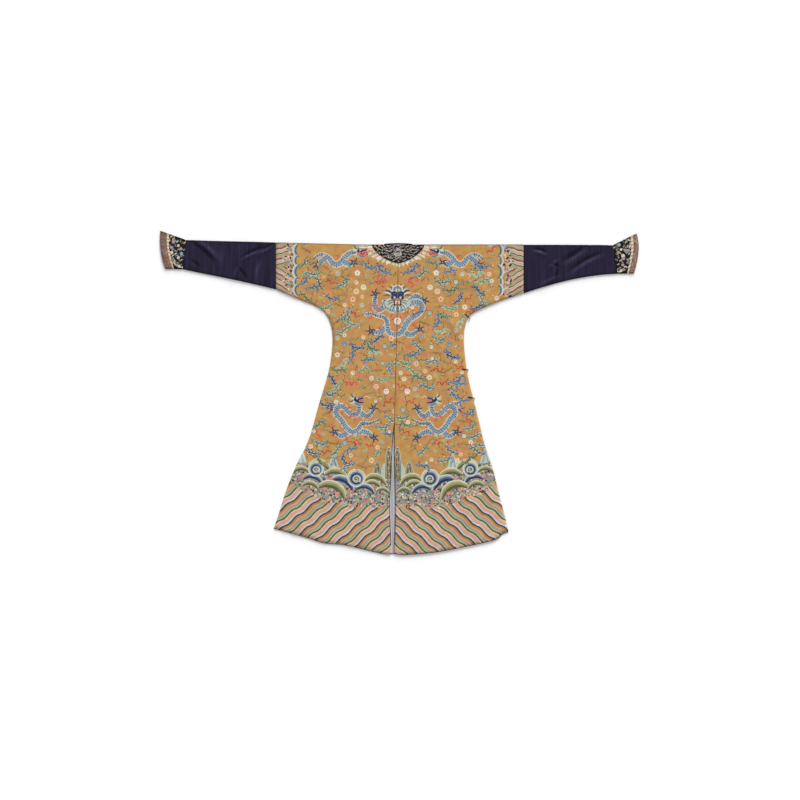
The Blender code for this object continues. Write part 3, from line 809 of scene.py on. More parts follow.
def small_motif(pen, rng, number):
    """What lies between the clouds, in turn."""
    kind = number % 5
    if kind == 0:
        blossom(pen, rng.choice(("peach", "peach", "cream")), rng.choice(("red", "coral")))
    elif kind == 1:
        scroll(pen, rng.choice(("coral", "red")))
    elif kind == 2:
        tendrils(pen, rng.choice(("moss", "brown", "green")))
    elif kind == 3:
        roundel(pen, rng.choice(("teal", "tan")), rng.choice(("cream", "mint")), rng.choice(("grey", "red")))
    else:
        faded_flower(pen, rng.choice(("mauve", "green", "sage")))


def lay_clouds(design, rng, low, high, inside):
    """Clouds and some small motifs, drifting in uneven rows."""
    count = 0
    row = 0
    pitch = CLOUD_PITCH if design.fine else 2.2 * CLOUD_PITCH
    y = high[1]
    while y > low[1]:
        x = low[0] + (0.5 * pitch if row % 2 else 0.0)
        while x < high[0]:
            a = x + rng.uniform(-0.008, 0.008)
            b = y + rng.uniform(-0.006, 0.006)
            if inside(a, b) and design.free(a, b, 0.011):
                pen = Pen(design, a, b, rng.uniform(0.8, 1.0), rng.uniform(-38, 38), rng.choice((1, -1)))
                roomy = design.free(a - 0.02, b, 0.008) and design.free(a + 0.02, b, 0.008)
                if roomy and (count + row) % 7 not in (2, 5):
                    cloud(pen, *CLOUD_DYES[(count * 3 + row) % len(CLOUD_DYES)], count)
                    for shift in (-0.022, 0.0, 0.022):
                        design.take(a + shift, b, 0.0125)
                else:
                    small_motif(pen, rng, count)
                    design.take(a, b, 0.017)
                count += 1
            x += pitch
        y -= 0.62 * pitch
        row += 1


def fill_ground(design, rng, low, high, inside):
    """Clouds, flowers, sprigs and flecks wherever there is room."""
    lay_clouds(design, rng, low, high, inside)

    def spots(tries, room):
        for k in range(tries):
            a = rng.uniform(low[0], high[0])
            b = rng.uniform(low[1], high[1])
            if inside(a, b) and design.free(a, b, room):
                yield k, a, b

    for k, a, b in spots(1200 if design.fine else 60, 0.008):
        small_motif(Pen(design, a, b, rng.uniform(0.7, 0.9), rng.uniform(-60, 60)), rng, k)
        design.take(a, b, 0.013)
    for _, a, b in spots(2400 if design.fine else 60, 0.0035):
        sprig(Pen(design, a, b, rng.uniform(0.65, 1.0), rng.uniform(0, 360)),
              rng.choice(("green", "moss", "coral", "teal", "brown", "moss")),
              rng.choice(("coral", "mint", "tan", "cream", "sage")))
        design.take(a, b, 0.008)
    for _, a, b in spots(2600 if design.fine else 0, 0.0005):
        pen = Pen(design, a, b, rng.uniform(0.8, 1.2), rng.uniform(0, 360))
        pen.shape(((-2.6, 0.0), (0.0, -0.9), (2.6, 0.3), (0.0, 1.1)),
                  rng.choice(("moss", "coral", "teal", "cream", "ground_dark", "brown")))
        design.take(a, b, 0.004)


def sleeve_end(design, side, rng):
    """The band at the end of the woven sleeve: chevron stripes, then foam breaking towards the body."""
    sign = SIGN[side]
    seam = SLEEVE_SEAM[side]
    middle = -0.48 * SLEEVE_FOOT[side]
    period = 0.046
    step = 0.009
    for way, slope in ((1.0, 0.3), (-1.0, 0.62)):

        def spot(start, u):
            return (sign * (seam - u), middle + way * (start + slope * u + 0.0018 * math.sin(u * 180.0)))

        start = -1.5 * period
        for colour, share in STRIPES * 5:
            end = start + share * period
            for k in range(9):
                u = k * step
                w = u + step
                if min(start + slope * u, start + slope * w) >= -0.002:
                    design.add([spot(start, u), spot(start, w), spot(end, w), spot(end, u)], colour)
            start = end

    def inside(x, y):
        edge = 0.462 + 0.01 * math.sin(y * 70.0)
        return edge < sign * x < edge + 0.034 and y > -0.26

    foam(design, rng, ((sign * 0.5 - 0.06, -0.25), (sign * 0.5 + 0.06, 0.03), inside), 0.008)
    for y, size in ((-0.026, 30), (-0.072, 26), (-0.12, 32), (-0.165, 24), (-0.2, 26)):
        crest(Pen(design, sign * 0.452, y, degrees=-sign * 84, flip=-sign), size, "teal", "sky", "pearl")


def on_ground(side, top, bottom):
    """Where the filling motifs of one half may lie, in metres down."""
    sign = SIGN[side]

    def inside(x, y):
        down = -y
        across = sign * x
        if not top < down < bottom or across < 0.004 or down > foam_top(x) - 0.035:
            return False
        beside_rocks = (down > 0.855 and across < 0.05) or (down > 0.915 and across < 0.105)
        if beside_rocks:
            return False
        reach = float(np.interp(down, [0.2] + [row.down for row in SIDES],
                                [0.43] + [getattr(row, side) for row in SIDES]))
        return across < reach - 0.014

    return inside


def collar_edge(share):
    """A place on the edge of the collar, from its left tip at -1 to its right tip at 1."""
    depth = (1.0 - abs(share) ** COLLAR_POWER) ** (1.0 / COLLAR_POWER)
    return (COLLAR_HALF_WIDTH * share, COLLAR_TOP - depth * (COLLAR_DEPTH + COLLAR_TOP))


def rays(design):
    """The pale rays woven round the collar, longer at its sides."""
    count = 46
    spots = [collar_edge(math.sin(math.pi * (k / count - 0.5))) for k in range(count + 1)]
    for k, ((ax, ay), (bx, by)) in enumerate(zip(spots, spots[1:])):
        reach = 1.13 + 0.4 * (abs(ax) / COLLAR_HALF_WIDTH) ** 3
        long = reach + (0.09 if k % 2 else -0.02)
        tip = ((ax + bx) / 2 * long, (ay + by) / 2 * long - 0.004)
        corners = [(0.9 * ax, 0.9 * ay), (0.9 * bx, 0.9 * by), (bx * reach, by * reach), tip,
                   (ax * reach, ay * reach)]
        design.add(corners, ("cream", "tan", "white", "cream", "sage")[k % 5])


# Room kept for the dragons, as (x, y, radius): the great one, then a striding one, then a shoulder one.
DRAGON_ROOM = (
    (-0.003, -0.215, 0.082), (-0.1, -0.225, 0.036), (0.11, -0.25, 0.04), (-0.06, -0.33, 0.066),
    (0.04, -0.36, 0.06), (-0.125, -0.375, 0.026), (-0.003, -0.03, 0.082), (0.07, -0.045, 0.05),
    (-0.07, -0.045, 0.05),
)
STRIDING_ROOM = (
    (-0.18, -0.69, 0.058), (-0.255, -0.76, 0.05), (-0.19, -0.8, 0.062), (-0.115, -0.74, 0.045),
    (-0.11, -0.84, 0.034), (-0.268, -0.83, 0.034),
)
SHOULDER_ROOM = ((0.27, -0.035, 0.075), (0.2, -0.02, 0.05), (0.34, -0.03, 0.045))

# Single figures of one half, in pairs across the seam: how far from it, how far down, what to draw.
PAIRED_FIGURES = (
    (0.15, 0.045, bat),
    (0.173, 0.125, lambda pen: blossom(pen, "white", "gold")),
    (0.146, 0.188, lambda pen: roundel(pen, "cream", "cream", "sage")),
    (0.178, 0.206, lambda pen: roundel(pen, "cream", "peach", "sage")),
    (0.193, 0.24, lambda pen: blossom(pen, "peach", "red")),
    (0.23, 0.438, lambda pen: roundel(pen, "blue", "sky", "navy")),
    (0.198, 0.617, bat),
    (0.046, 0.645, lambda pen: pearl(pen, 12.0)),
    (0.176, 0.868, peony),
    (0.106, 0.034, lambda pen: scroll(pen.at(0, 0, size=0.9), "coral")),
    (0.062, 0.108, lambda pen: cloud(pen, "navy", "blue", "sky", 1)),
)


def robe_figures(side, seed, fine=True):
    """What is woven on one half of the robe, back or front, in plan."""
    design = Design("ground", fine)
    rng = random.Random(seed)
    sign = SIGN[side]
    centre = -0.012
    for x, y, radius in DRAGON_ROOM:
        design.take(x, y, radius)
    for flip in (1, -1):
        for x, y, radius in STRIDING_ROOM:
            design.take(centre + flip * (x - centre), y, radius)
    for x, y, radius in SHOULDER_ROOM:
        design.take(sign * x, y, radius)
    for y in np.arange(-0.02, -0.25, -0.04):
        design.take(sign * 0.475, float(y), 0.03)

    sleeve_end(design, side, rng)
    sea(design, side, rng)
    rays(design)
    front_dragon(Pen(design, -0.003, -0.23))
    striding_dragon(Pen(design, centre + sign * 0.164, -0.683, flip=-sign))
    shoulder_dragon(Pen(design, sign * 0.262, -0.036, flip=sign))
    for x, down, draw in PAIRED_FIGURES:
        place = centre / 2 + sign * x
        draw(Pen(design, place, -down, flip=sign))
        design.take(place, -down, 0.026)
    fill_ground(design, rng, (min(0, sign) * 0.55, -1.02), (max(0, sign) * 0.55, 0.012),
                on_ground(side, -0.02, 1.02))
    half = 0.0016
    for (down, x, _), (low, x_low, _) in zip(VENT, VENT[1:3]):
        design.add([(x - half, -down), (x + half, -down), (x_low + half, -low), (x_low - half, -low)],
                   "ground_dark")
    return design


def keep_near_side(design, top):
    """Leaves out what reaches past the middle of the fold."""
    kept = []
    for points, colour in design.shapes:
        x = sum(point[0] for point in points) / len(points)
        y = sum(point[1] for point in points) / len(points)
        if y < float(top(x)) - FOLD_RADIUS + FOLD_LENGTH / 2:
            kept.append((points, colour))
    design.shapes = kept


def unfold(design, shapes, top):
    """Puts shapes past the fold of the unrolled cloth."""
    for points, colour in shapes:
        design.add(mirrored(points, top), colour)


# ---------------------------------------------------------------- creases and heights

# A soft ridge, or a trough where `height` is negative, in millimetres; `bow` bends it to one side.
Crease = namedtuple("Crease", "x y length degrees width height bow")
BACK_CREASES = [Crease(*row) for row in (
    (-0.633, -0.033, 0.15, 25, 6, -3.0, 0.06), (-0.64, -0.047, 0.14, 25, 7, 3.4, 0.06),
    (-0.586, -0.019, 0.11, 31, 5, -2.6, 0.0), (-0.592, -0.03, 0.11, 31, 6, 3.0, 0.0),
    (-0.86, -0.035, 0.17, -40, 9, -3.2, 0.14), (-0.846, -0.026, 0.17, -40, 10, 3.4, 0.14),
    (-0.888, -0.083, 0.06, -40, 5, -2.6, 0.0), (-0.713, -0.122, 0.09, 63, 5, 3.6, 0.0),
    (-0.684, -0.122, 0.09, -53, 6, -3.0, 0.0), (-0.617, -0.116, 0.11, 74, 8, 2.4, 0.05),
    (-0.78, -0.06, 0.1, 86, 14, 1.8, 0.0), (0.62, -0.028, 0.08, -18, 6, -3.0, 0.1),
    (0.622, -0.04, 0.08, -18, 7, 3.0, 0.1), (0.766, -0.038, 0.14, 34, 10, -3.0, -0.08),
    (0.772, -0.056, 0.15, 34, 10, 3.2, -0.08), (0.82, -0.08, 0.21, 30, 8, -2.8, 0.1),
    (0.828, -0.094, 0.2, 30, 9, 3.4, 0.1), (0.69, -0.09, 0.06, -24, 5, -2.6, 0.0),
    (0.68, -0.086, 0.08, 40, 6, 2.8, 0.0), (0.664, -0.162, 0.12, 27, 7, 3.0, 0.05),
    (0.69, -0.14, 0.08, 70, 6, -2.4, 0.0), (-0.3, -0.15, 0.24, 28, 20, 2.6, 0.06),
    (0.31, -0.16, 0.22, -32, 22, 2.4, -0.05), (-0.235, -0.33, 0.2, 62, 18, 2.4, 0.05),
    (0.24, -0.345, 0.18, -58, 17, 2.8, -0.06), (-0.1, -0.5, 0.42, 86, 26, 2.0, 0.03),
    (0.13, -0.56, 0.48, 94, 24, 2.2, -0.03), (-0.21, -0.64, 0.3, 74, 20, 1.6, 0.04),
    (0.235, -0.7, 0.34, 104, 19, 1.8, -0.05), (-0.38, -1.12, 0.36, 66, 24, 3.0, 0.05),
    (-0.27, -1.2, 0.3, 76, 20, -2.0, 0.03), (-0.15, -1.18, 0.36, 84, 24, 2.8, 0.04),
    (0.08, -1.22, 0.3, 92, 22, 2.6, -0.04), (0.19, -1.14, 0.34, 98, 18, -1.8, 0.05),
    (0.3, -1.16, 0.32, 106, 24, 3.0, -0.04), (0.4, -1.08, 0.24, 112, 18, 1.8, 0.03),
    (-0.44, -1.0, 0.22, 62, 18, 1.6, -0.04), (-0.05, -0.9, 0.26, 82, 15, 1.4, 0.05),
    (0.055, -0.83, 0.2, 97, 14, 1.3, -0.05),
)]
FRONT_CREASES = [Crease(*row) for row in (
    (-0.25, -0.3, 0.26, 58, 20, 1.0, 0.05), (0.2, -0.42, 0.3, 118, 22, 1.0, -0.05),
    (-0.12, -0.7, 0.42, 84, 24, 0.9, 0.03), (0.09, -0.8, 0.36, 96, 20, 0.8, -0.03),
    (-0.33, -1.06, 0.36, 68, 24, 1.1, 0.04), (0.26, -1.12, 0.32, 104, 22, 1.0, -0.04),
    (-0.7, -0.08, 0.16, 36, 12, 1.0, 0.05), (0.76, -0.07, 0.18, 30, 14, 0.9, 0.05),
)]


def relief(creases, x, y):
    """The height that the creases add at each place."""
    total = np.zeros_like(x)
    for crease in creases:
        turn = math.radians(crease.degrees)
        along = (x - crease.x) * math.cos(turn) + (y - crease.y) * math.sin(turn)
        across = -(x - crease.x) * math.sin(turn) + (y - crease.y) * math.cos(turn)
        half = crease.length / 2
        across = across + crease.bow * (along ** 2 - half ** 2) / half
        fade = np.clip(1.0 - (along / half) ** 2, 0.0, 1.0) ** 1.5
        total += crease.height * MM * fade * np.exp(-(across / (crease.width * MM)) ** 2)
    return total


def distance_to(line, x, y):
    """The distance from each place to a line in plan."""
    best = np.full(x.shape, 1.0)
    for (ax, ay), (bx, by) in zip(line, line[1:]):
        dx = bx - ax
        dy = by - ay
        part = np.clip(((x - ax) * dx + (y - ay) * dy) / max(dx * dx + dy * dy, 1e-12), 0.0, 1.0)
        best = np.minimum(best, np.hypot(x - ax - part * dx, y - ay - part * dy))
    return best


def front_z(x, y):
    """The outer face of the front, which looks down; the right front lies on the outer front."""
    part = np.clip((0.5 - np.abs(x)) / 0.1, 0.0, 1.0)
    lift = np.where(x > 0.0, LAYER * part * part * (3.0 - 2.0 * part), 0.0)
    return FLOOR_GAP + relief(FRONT_CREASES, x, y) + lift


def back_surface(edges, dips=()):
    """The outer face of the back, rolled down at the sewn edges and dipping along the seams."""

    def height(x, y):
        rest = BACK_REST + relief(BACK_CREASES, x, y)
        rest = rest + RIPPLE * np.sin(x * 23.0 + 1.3 * np.sin(y * 17.0)) * np.cos(y * 19.0 + x * 5.0)
        for line in dips:
            rest = rest - SEAM_DIP * np.exp(-(distance_to(line, x, y) / SEAM_REACH) ** 2)
        low = front_z(x, y) + EDGE_HEIGHT
        for line, reach in edges:
            part = np.clip(distance_to(line, x, y) / reach, 0.0, 1.0)
            rest = low + (rest - low) * np.sqrt(1.0 - (1.0 - part) ** 2)
        return rest

    return height


def folded(top, back_z):
    """How an unrolled piece lies: the back in plan, round the fold at `top`, and back under."""

    def lay(x, y):
        fold_y = top(x) - FOLD_RADIUS
        past = y - fold_y
        turn = np.clip(past / FOLD_RADIUS, 0.0, math.pi)
        plan = np.where(past <= 0.0, y, fold_y + FOLD_RADIUS * np.sin(turn))
        plan = np.where(past >= FOLD_LENGTH, fold_y - (past - FOLD_LENGTH), plan)
        under = np.minimum(plan, fold_y)
        high = back_z(x, under)
        low = front_z(x, under)
        z = (high + low) / 2 + (high - low) / 2 * np.cos(turn)
        outer = np.stack((x, plan, z), axis=1)
        inward = np.stack((np.zeros_like(x), -np.sin(turn), -np.cos(turn)), axis=1)
        return outer, outer + CLOTH * inward

    return lay


def single(surface, thickness, face_down=False):
    """How one layer lies, with its outer face on the surface."""

    def lay(x, y):
        outer = np.stack((x, y, surface(x, y)), axis=1)
        return outer, outer + np.array((0.0, 0.0, thickness if face_down else -thickness))

    return lay


# ---------------------------------------------------------------- thin shells


def fold_rows(outline, top, before=1):
    """Places along the fold, close enough to bend round it, from `before` rows on the near side."""
    low, high = bounds_of(outline)
    return [(float(x), float(top(x)) - FOLD_RADIUS + FOLD_LENGTH * k / 6)
            for x in np.arange(low[0] + 0.002, high[0], 0.006) for k in range(-before, 8)]


def painted_fold_and_crease_shade(top, reach, depth, painted_crease_shading=0.0):
    """Painted shade along the fold, and painted shade in crease troughs with painted highlight on crease
    ridges as strong as the last argument, as a share.
    """

    def shade(x, y):
        past = y - (top(x) - FOLD_RADIUS + FOLD_LENGTH / 2)
        # Painted shade in crease troughs and painted highlight on crease ridges, from the height of the
        # creases.
        marks = np.clip(1.0 + painted_crease_shading * relief(BACK_CREASES, x, y) / MM, 0.45, 1.7)
        # Painted shade along the fold.
        return marks * (1.0 - depth * np.exp(-(past / reach) ** 4))

    return shade


def loose_grid(outline, grid, rng):
    """Places on an uneven grid over the box of an outline."""
    low, high = bounds_of(outline)
    return [(x + rng.uniform(-0.3, 0.3) * grid, y + rng.uniform(-0.3, 0.3) * grid)
            for x in np.arange(low[0] + grid / 2, high[0], grid)
            for y in np.arange(low[1] + grid / 2, high[1], grid)]


def cut_cloth(outline, shapes, grid, rng, extra):
    """Cuts flat cloth into triangles along its figures. Returns places, triangles and figure numbers."""
    outline = outline if area_of(outline) > 0 else outline[::-1]
    outlines = [outline] + [points for points, _ in shapes]
    spots = []
    faces = []
    for points in outlines:
        faces.append(list(range(len(spots), len(spots) + len(points))))
        spots.extend(points)
    spots += loose_grid(outline, grid, rng) + list(extra)
    result = delaunay_2d_cdt(spots, [], faces, 1, 1e-6, True)
    places = np.array([tuple(v) for v in result[0]])
    boxes = [bounds_of(points) for points in outlines]
    middles = places[np.array(result[2])].mean(axis=1).tolist()
    triangles = []
    figures = []
    for corners, sources, (x, y) in zip(result[2], result[5], middles):
        if 0 not in sources:
            continue
        for figure in sorted(sources, reverse=True):
            (left, bottom), (right, top) = boxes[figure]
            if left <= x <= right and bottom <= y <= top:
                break
        triangles.append(corners)
        figures.append(figure)
    used = sorted({corner for triangle in triangles for corner in triangle})
    number = {old: new for new, old in enumerate(used)}
    return places[used], [tuple(number[c] for c in triangle) for triangle in triangles], figures


def edge_ring(triangles):
    """The vertices round the outside, in order."""
    edges = {edge for a, b, c in triangles for edge in ((a, b), (b, c), (c, a))}
    after = {a: b for a, b in edges if (b, a) not in edges}
    ring = [min(after)]
    while after[ring[-1]] != ring[0]:
        ring.append(after[ring[-1]])
    return ring


def inner_skin(ring_places, grid, rng, extra):
    """Triangles for the inside of the cloth, on the ring of the outside."""
    count = len(ring_places)
    spots = ring_places + loose_grid(ring_places, grid, rng) + list(extra)
    result = delaunay_2d_cdt(spots, [], [list(range(count))], 1, 1e-7, True)
    places = np.array([tuple(v) for v in result[0]])
    numbers = {source: number for number, sources in enumerate(result[3]) for source in sources}
    triangles = [tuple(corners) for corners, sources in zip(result[2], result[5]) if 0 in sources]
    return places, triangles, [numbers[k] for k in range(count)]


def add_bake_map(mesh, flat, outer_count, cloth_count):
    """Lays the outside, the inside and the cut edge beside each other on one map."""
    size = flat.max(axis=0) - flat.min(axis=0)
    starts = np.zeros(len(mesh.polygons), dtype=np.int32)
    totals = np.zeros(len(mesh.polygons), dtype=np.int32)
    corners = np.zeros(len(mesh.loops), dtype=np.int32)
    mesh.polygons.foreach_get("loop_start", starts)
    mesh.polygons.foreach_get("loop_total", totals)
    mesh.loops.foreach_get("vertex_index", corners)
    owner = np.repeat(np.arange(len(mesh.polygons)), totals)
    u, v = ((flat - flat.min(axis=0)) / size)[corners].T
    u_map = 0.005 + 0.89 * u
    v_map = 0.005 + 0.99 * v
    if size[1] > 1.4 * size[0]:
        front = (np.add.reduceat(v, starts) / totals)[owner] > 0.5
        u_map = np.where(front, 0.455 + 0.44 * u, 0.005 + 0.44 * u)
        v_map = np.where(front, (v - 0.5) * 1.98 + 0.005, v * 1.98 + 0.005)
    inner = owner >= outer_count
    rim = owner >= cloth_count
    turn = np.arange(len(corners)) - starts[owner]
    along = (owner - cloth_count) / max(1, len(mesh.polygons) - cloth_count)
    u_map = np.where(inner, 0.905 + 0.06 * u, u_map)
    v_map = np.where(inner, 0.005 + 0.99 * v, v_map)
    u_map = np.where(rim, 0.975 + 0.01 * (turn > 1), u_map)
    v_map = np.where(rim, 0.005 + 0.98 * along + 0.005 * ((turn == 1) | (turn == 2)), v_map)
    layer = mesh.uv_layers.new(name="OFBake")
    layer.data.foreach_set("uv", np.stack((u_map, v_map), axis=1).ravel().astype(np.float32))


# ---------------------------------------------------------------- materials


class Nodes:
    """A material's node tree, written as short calls."""

    def __init__(self, name):
        self.material = bpy.data.materials.new(name)
        self.material.use_nodes = True
        self.tree = self.material.node_tree
        self.shader = self.tree.nodes["Principled BSDF"]

    def node(self, kind, **values):
        """Adds a node and sets its sockets, or its own settings where no socket has that name."""
        item = self.tree.nodes.new(kind)
        for key, value in values.items():
            if key in item.inputs:
                item.inputs[key].default_value = value
            else:
                setattr(item, key, value)
        return item

    def link(self, output, target):
        """Joins an output to an input."""
        self.tree.links.new(output, target)

    def stretched(self, x=1.0, y=1.0):
        """The robe's own coordinates, scaled."""
        mapping = self.node("ShaderNodeMapping", Scale=(x, y, 1.0))
        self.link(self.node("ShaderNodeTexCoord").outputs["Object"], mapping.inputs["Vector"])
        return mapping.outputs["Vector"]

    def noise(self, scale, detail, stretch=(1.0, 1.0)):
        """A noise texture's value."""
        item = self.node("ShaderNodeTexNoise", Scale=scale, Detail=detail)
        self.link(self.stretched(*stretch), item.inputs["Vector"])
        return item.outputs["Fac"]

    def varied(self, low, high, scale, detail, stretch=(1.0, 1.0)):
        """Noise between two values."""
        item = self.node("ShaderNodeMapRange")
        for label, value in (("From Min", 0.25), ("From Max", 0.75), ("To Min", low), ("To Max", high)):
            item.inputs[label].default_value = value
        self.link(self.noise(scale, detail, stretch), item.inputs["Value"])
        return item.outputs["Result"]

    def finish(self, colour, fine, coarse, rough, *bumps, **plain):
        """Joins a colour of uneven brightness, a roughness and bumps to the shader, and sets plain values."""
        tone = self.node("ShaderNodeHueSaturation")
        value = self.node("ShaderNodeMath", operation="MULTIPLY")
        self.link(colour, tone.inputs["Color"])
        self.link(fine, value.inputs[0])
        self.link(coarse, value.inputs[1])
        self.link(value.outputs[0], tone.inputs["Value"])
        self.link(tone.outputs["Color"], self.shader.inputs["Base Color"])
        self.link(rough, self.shader.inputs["Roughness"])
        under = None
        for height, strength, distance in bumps:
            bump = self.node("ShaderNodeBump", Strength=strength, Distance=distance)
            self.link(height, bump.inputs["Height"])
            if under is not None:
                self.link(under, bump.inputs["Normal"])
            under = bump.outputs["Normal"]
        self.link(under, self.shader.inputs["Normal"])
        for key, value in plain.items():
            self.shader.inputs[key.replace("_", " ")].default_value = value
        return tone


def tapestry(name, wear=0.1):
    """Silk tapestry weave: dyed figures, ribs of weft, uneven threads and a soft sheen."""
    nodes = Nodes(name)
    # The dye attribute carries the figure colours with painted shade along the folds multiplied in.
    dye = nodes.node("ShaderNodeAttribute", attribute_name="dye")
    ribs = nodes.node("ShaderNodeTexWave", Scale=180.0, Distortion=2.0, Detail=2.0, bands_direction="Y")
    nodes.link(nodes.stretched(), ribs.inputs["Vector"])
    tone = nodes.finish(
        dye.outputs["Color"], nodes.varied(1.0 - wear, 1.0 + wear, 1.0, 2.0, (420.0, 900.0)),
        nodes.varied(1.0 - wear, 1.0 + wear, 38.0, 4.0), nodes.varied(0.75, 0.95, 60.0, 3.0),
        (ribs.outputs["Fac"], 0.25, 0.0004), (nodes.noise(220.0, 2.0), 0.35, 0.0005),
        Sheen_Weight=0.03, Sheen_Roughness=0.5, Specular_IOR_Level=0.06)
    nodes.link(nodes.varied(0.478, 0.522, 52.0, 3.0), tone.inputs["Hue"])
    return nodes.material


def plain_silk(name, ribs, sheen, roughness):
    """Plain silk with fine ribs across the sleeve and a gloss."""
    nodes = Nodes(name)
    # The dye attribute carries the silk colour with painted shade along the fold and painted shade and
    # highlight along the creases multiplied in.
    dye = nodes.node("ShaderNodeAttribute", attribute_name="dye")
    nodes.finish(
        dye.outputs["Color"], nodes.varied(0.78, 1.25, 1.0, 3.0, (ribs, 5.0)),
        nodes.varied(0.55, 1.5, 1.0, 2.0, (0.17 * ribs, 5.0)),
        nodes.varied(roughness - 0.06, roughness + 0.1, 30.0, 3.0),
        (nodes.noise(1.0, 2.0, (ribs, 5.0)), 0.4, 0.0004), (nodes.noise(500.0, 1.0), 0.2, 0.0002),
        Sheen_Weight=sheen, Sheen_Roughness=0.35, Specular_IOR_Level=0.1)
    return nodes.material


def bronze(name):
    """Worn dark brass."""
    nodes = Nodes(name)
    base = nodes.node("ShaderNodeRGB")
    base.outputs[0].default_value = linear("gold")
    nodes.finish(
        base.outputs[0], nodes.varied(0.35, 0.75, 400.0, 3.0), nodes.varied(0.7, 1.0, 120.0, 2.0),
        nodes.varied(0.25, 0.5, 300.0, 2.0), (nodes.noise(500.0, 2.0), 0.2, 0.0002), Metallic=0.9)
    return nodes.material


# ---------------------------------------------------------------- the pieces

# The neck point in the model's frame, and the material of each slot; main() fills in both.
ORIGIN = np.zeros(3)
FINISHES = {}


def add_to_scene(name, data):
    """A new object in the scene."""
    item = bpy.data.objects.new(name, data)
    bpy.context.scene.collection.objects.link(item)
    return item


def new_piece(name, node, slot, vertices, faces, smooth):
    """A visible piece with its finish; it stands for `node` of the model where it has one."""
    mesh = bpy.data.meshes.new(name)
    mesh.from_pydata((np.array(vertices) + ORIGIN).tolist(), [], faces)
    mesh.polygons.foreach_set("use_smooth", smooth)
    mesh.materials.append(FINISHES[slot])
    item = add_to_scene(name, mesh)
    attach(item, "root")
    if node:
        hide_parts(node)
    return item


def shell(name, node, slot, outline, design, lay, face_down=False, grid=GRID, fold=(),
          shade=None):
    """A closed shell of cloth: its figured outside, its plain inside and its cut edge."""
    rng = random.Random(name)
    places, triangles, figures = cut_cloth(outline, design.shapes, grid, rng, fold)
    ring = edge_ring(triangles)
    inside, inner_triangles, inner_ring = inner_skin([tuple(places[k]) for k in ring],
                                                     min(grid, INNER_GRID), rng, fold)
    outer, _ = lay(places[:, 0], places[:, 1])
    _, inner = lay(inside[:, 0], inside[:, 1])
    first = len(outer)
    rim = [(b, a, first + d, first + c) for a, b, c, d in
           zip(ring, ring[1:] + ring[:1], inner_ring[1:] + inner_ring[:1], inner_ring)]
    faces = triangles + [(first + c, first + b, first + a) for a, b, c in inner_triangles] + rim
    if face_down:
        faces = [face[::-1] for face in faces]
    cloth_count = len(triangles) + len(inner_triangles)
    item = new_piece(name, node, slot, np.vstack((outer, inner)), faces,
                     [True] * cloth_count + [False] * len(rim))
    dyes = [design.ground] + [colour for _, colour in design.shapes]
    palette = {colour: linear(colour) for colour in set(dyes) | {"lining", "rim"}}
    lining = design.ground if design.ground == "navy_silk" else "lining"
    shades = np.array([palette[dyes[figure]] for figure in figures] + [palette[lining]] * len(inner_triangles)
                      + [palette["rim"]] * len(rim), dtype=np.float32)
    # Painted shade along folds, and painted shade and highlight along creases, multiplied into the figure
    # colours.
    if shade is not None:
        middles = places[np.array(triangles)].mean(axis=1)
        shades[:len(triangles), :3] *= shade(middles[:, 0], middles[:, 1])[:, None]
    item.data.attributes.new("dye", "FLOAT_COLOR", "FACE").data.foreach_set("color", shades.ravel())
    add_bake_map(item.data, np.vstack((places, inside)), len(triangles), cloth_count)
    item.data.validate()
    width, length = bounds_of(outline)[1] - bounds_of(outline)[0]
    abs(area_of(outline))
    return item


def mirrored(points, top):
    """Places in plan, moved past the fold of the unrolled cloth."""
    return [(x, 2 * (float(top(x)) - FOLD_RADIUS) - y + FOLD_LENGTH) for x, y in points]


def arm_seam(side):
    """The seam between the woven and the plain sleeve."""
    return sided(side, ((SLEEVE_SEAM[side], 0.03), (SLEEVE_SEAM[side], -0.25)))


def body_height(side):
    """The outer face of the back of one half of the robe."""
    edges = ((side_line(side), EDGE_ROLL), (hem_line(side, centre_line(side)[-1][0]), HEM_ROLL))
    return back_surface(edges, (arm_seam(side), [(x, -down) for down, x, _ in VENT]))


def body_outline(side):
    """Back, fold and front of one half of the robe, unrolled."""
    sign = SIGN[side]
    edge = side_line(side)
    centre = centre_line(side)
    seam = sign * SLEEVE_SEAM[side]
    corner = (seam, float(shoulder(seam)) - FOLD_RADIUS)
    back = [(sign * SEAM_GAP, -FOLD_RADIUS)] + centre[1:] + hem_line(side, centre[-1][0]) + edge[::-1][1:]
    inner = INNER_FRONT_EDGE if side == "right" else SEAM_GAP
    front = [corner] + edge + hem_line(side, sign * inner)[::-1][1:]
    for k in range(NECK_STEPS + 1):
        turn = 0.5 * math.pi * k / NECK_STEPS
        x = max(inner, NECK_HALF_WIDTH * math.sin(turn))
        front.append((sign * x, min(-FOLD_RADIUS, -NECK_DEPTH * math.cos(turn))))
    return back + [corner] + mirrored(front, shoulder) + [(sign * NECK_HALF_WIDTH, -FOLD_RADIUS)]


def body_panel(side):
    """One length of cloth from the back hem over the shoulder to the front hem."""
    design = robe_figures(side, 7)
    front = robe_figures(side, 19, fine=False)
    keep_near_side(design, shoulder)
    keep_near_side(front, shoulder)
    unfold(design, front.shapes, shoulder)
    outline = body_outline(side)
    # Painted shade along the shoulder fold is multiplied into the figure colours.
    shell(f"robe_body_{side}", f"body_{side}", "ochre_tapestry", outline, design,
          folded(shoulder, body_height(side)),
          fold=fold_rows(outline, shoulder), shade=painted_fold_and_crease_shade(shoulder, 5.0 * MM, 0.85))


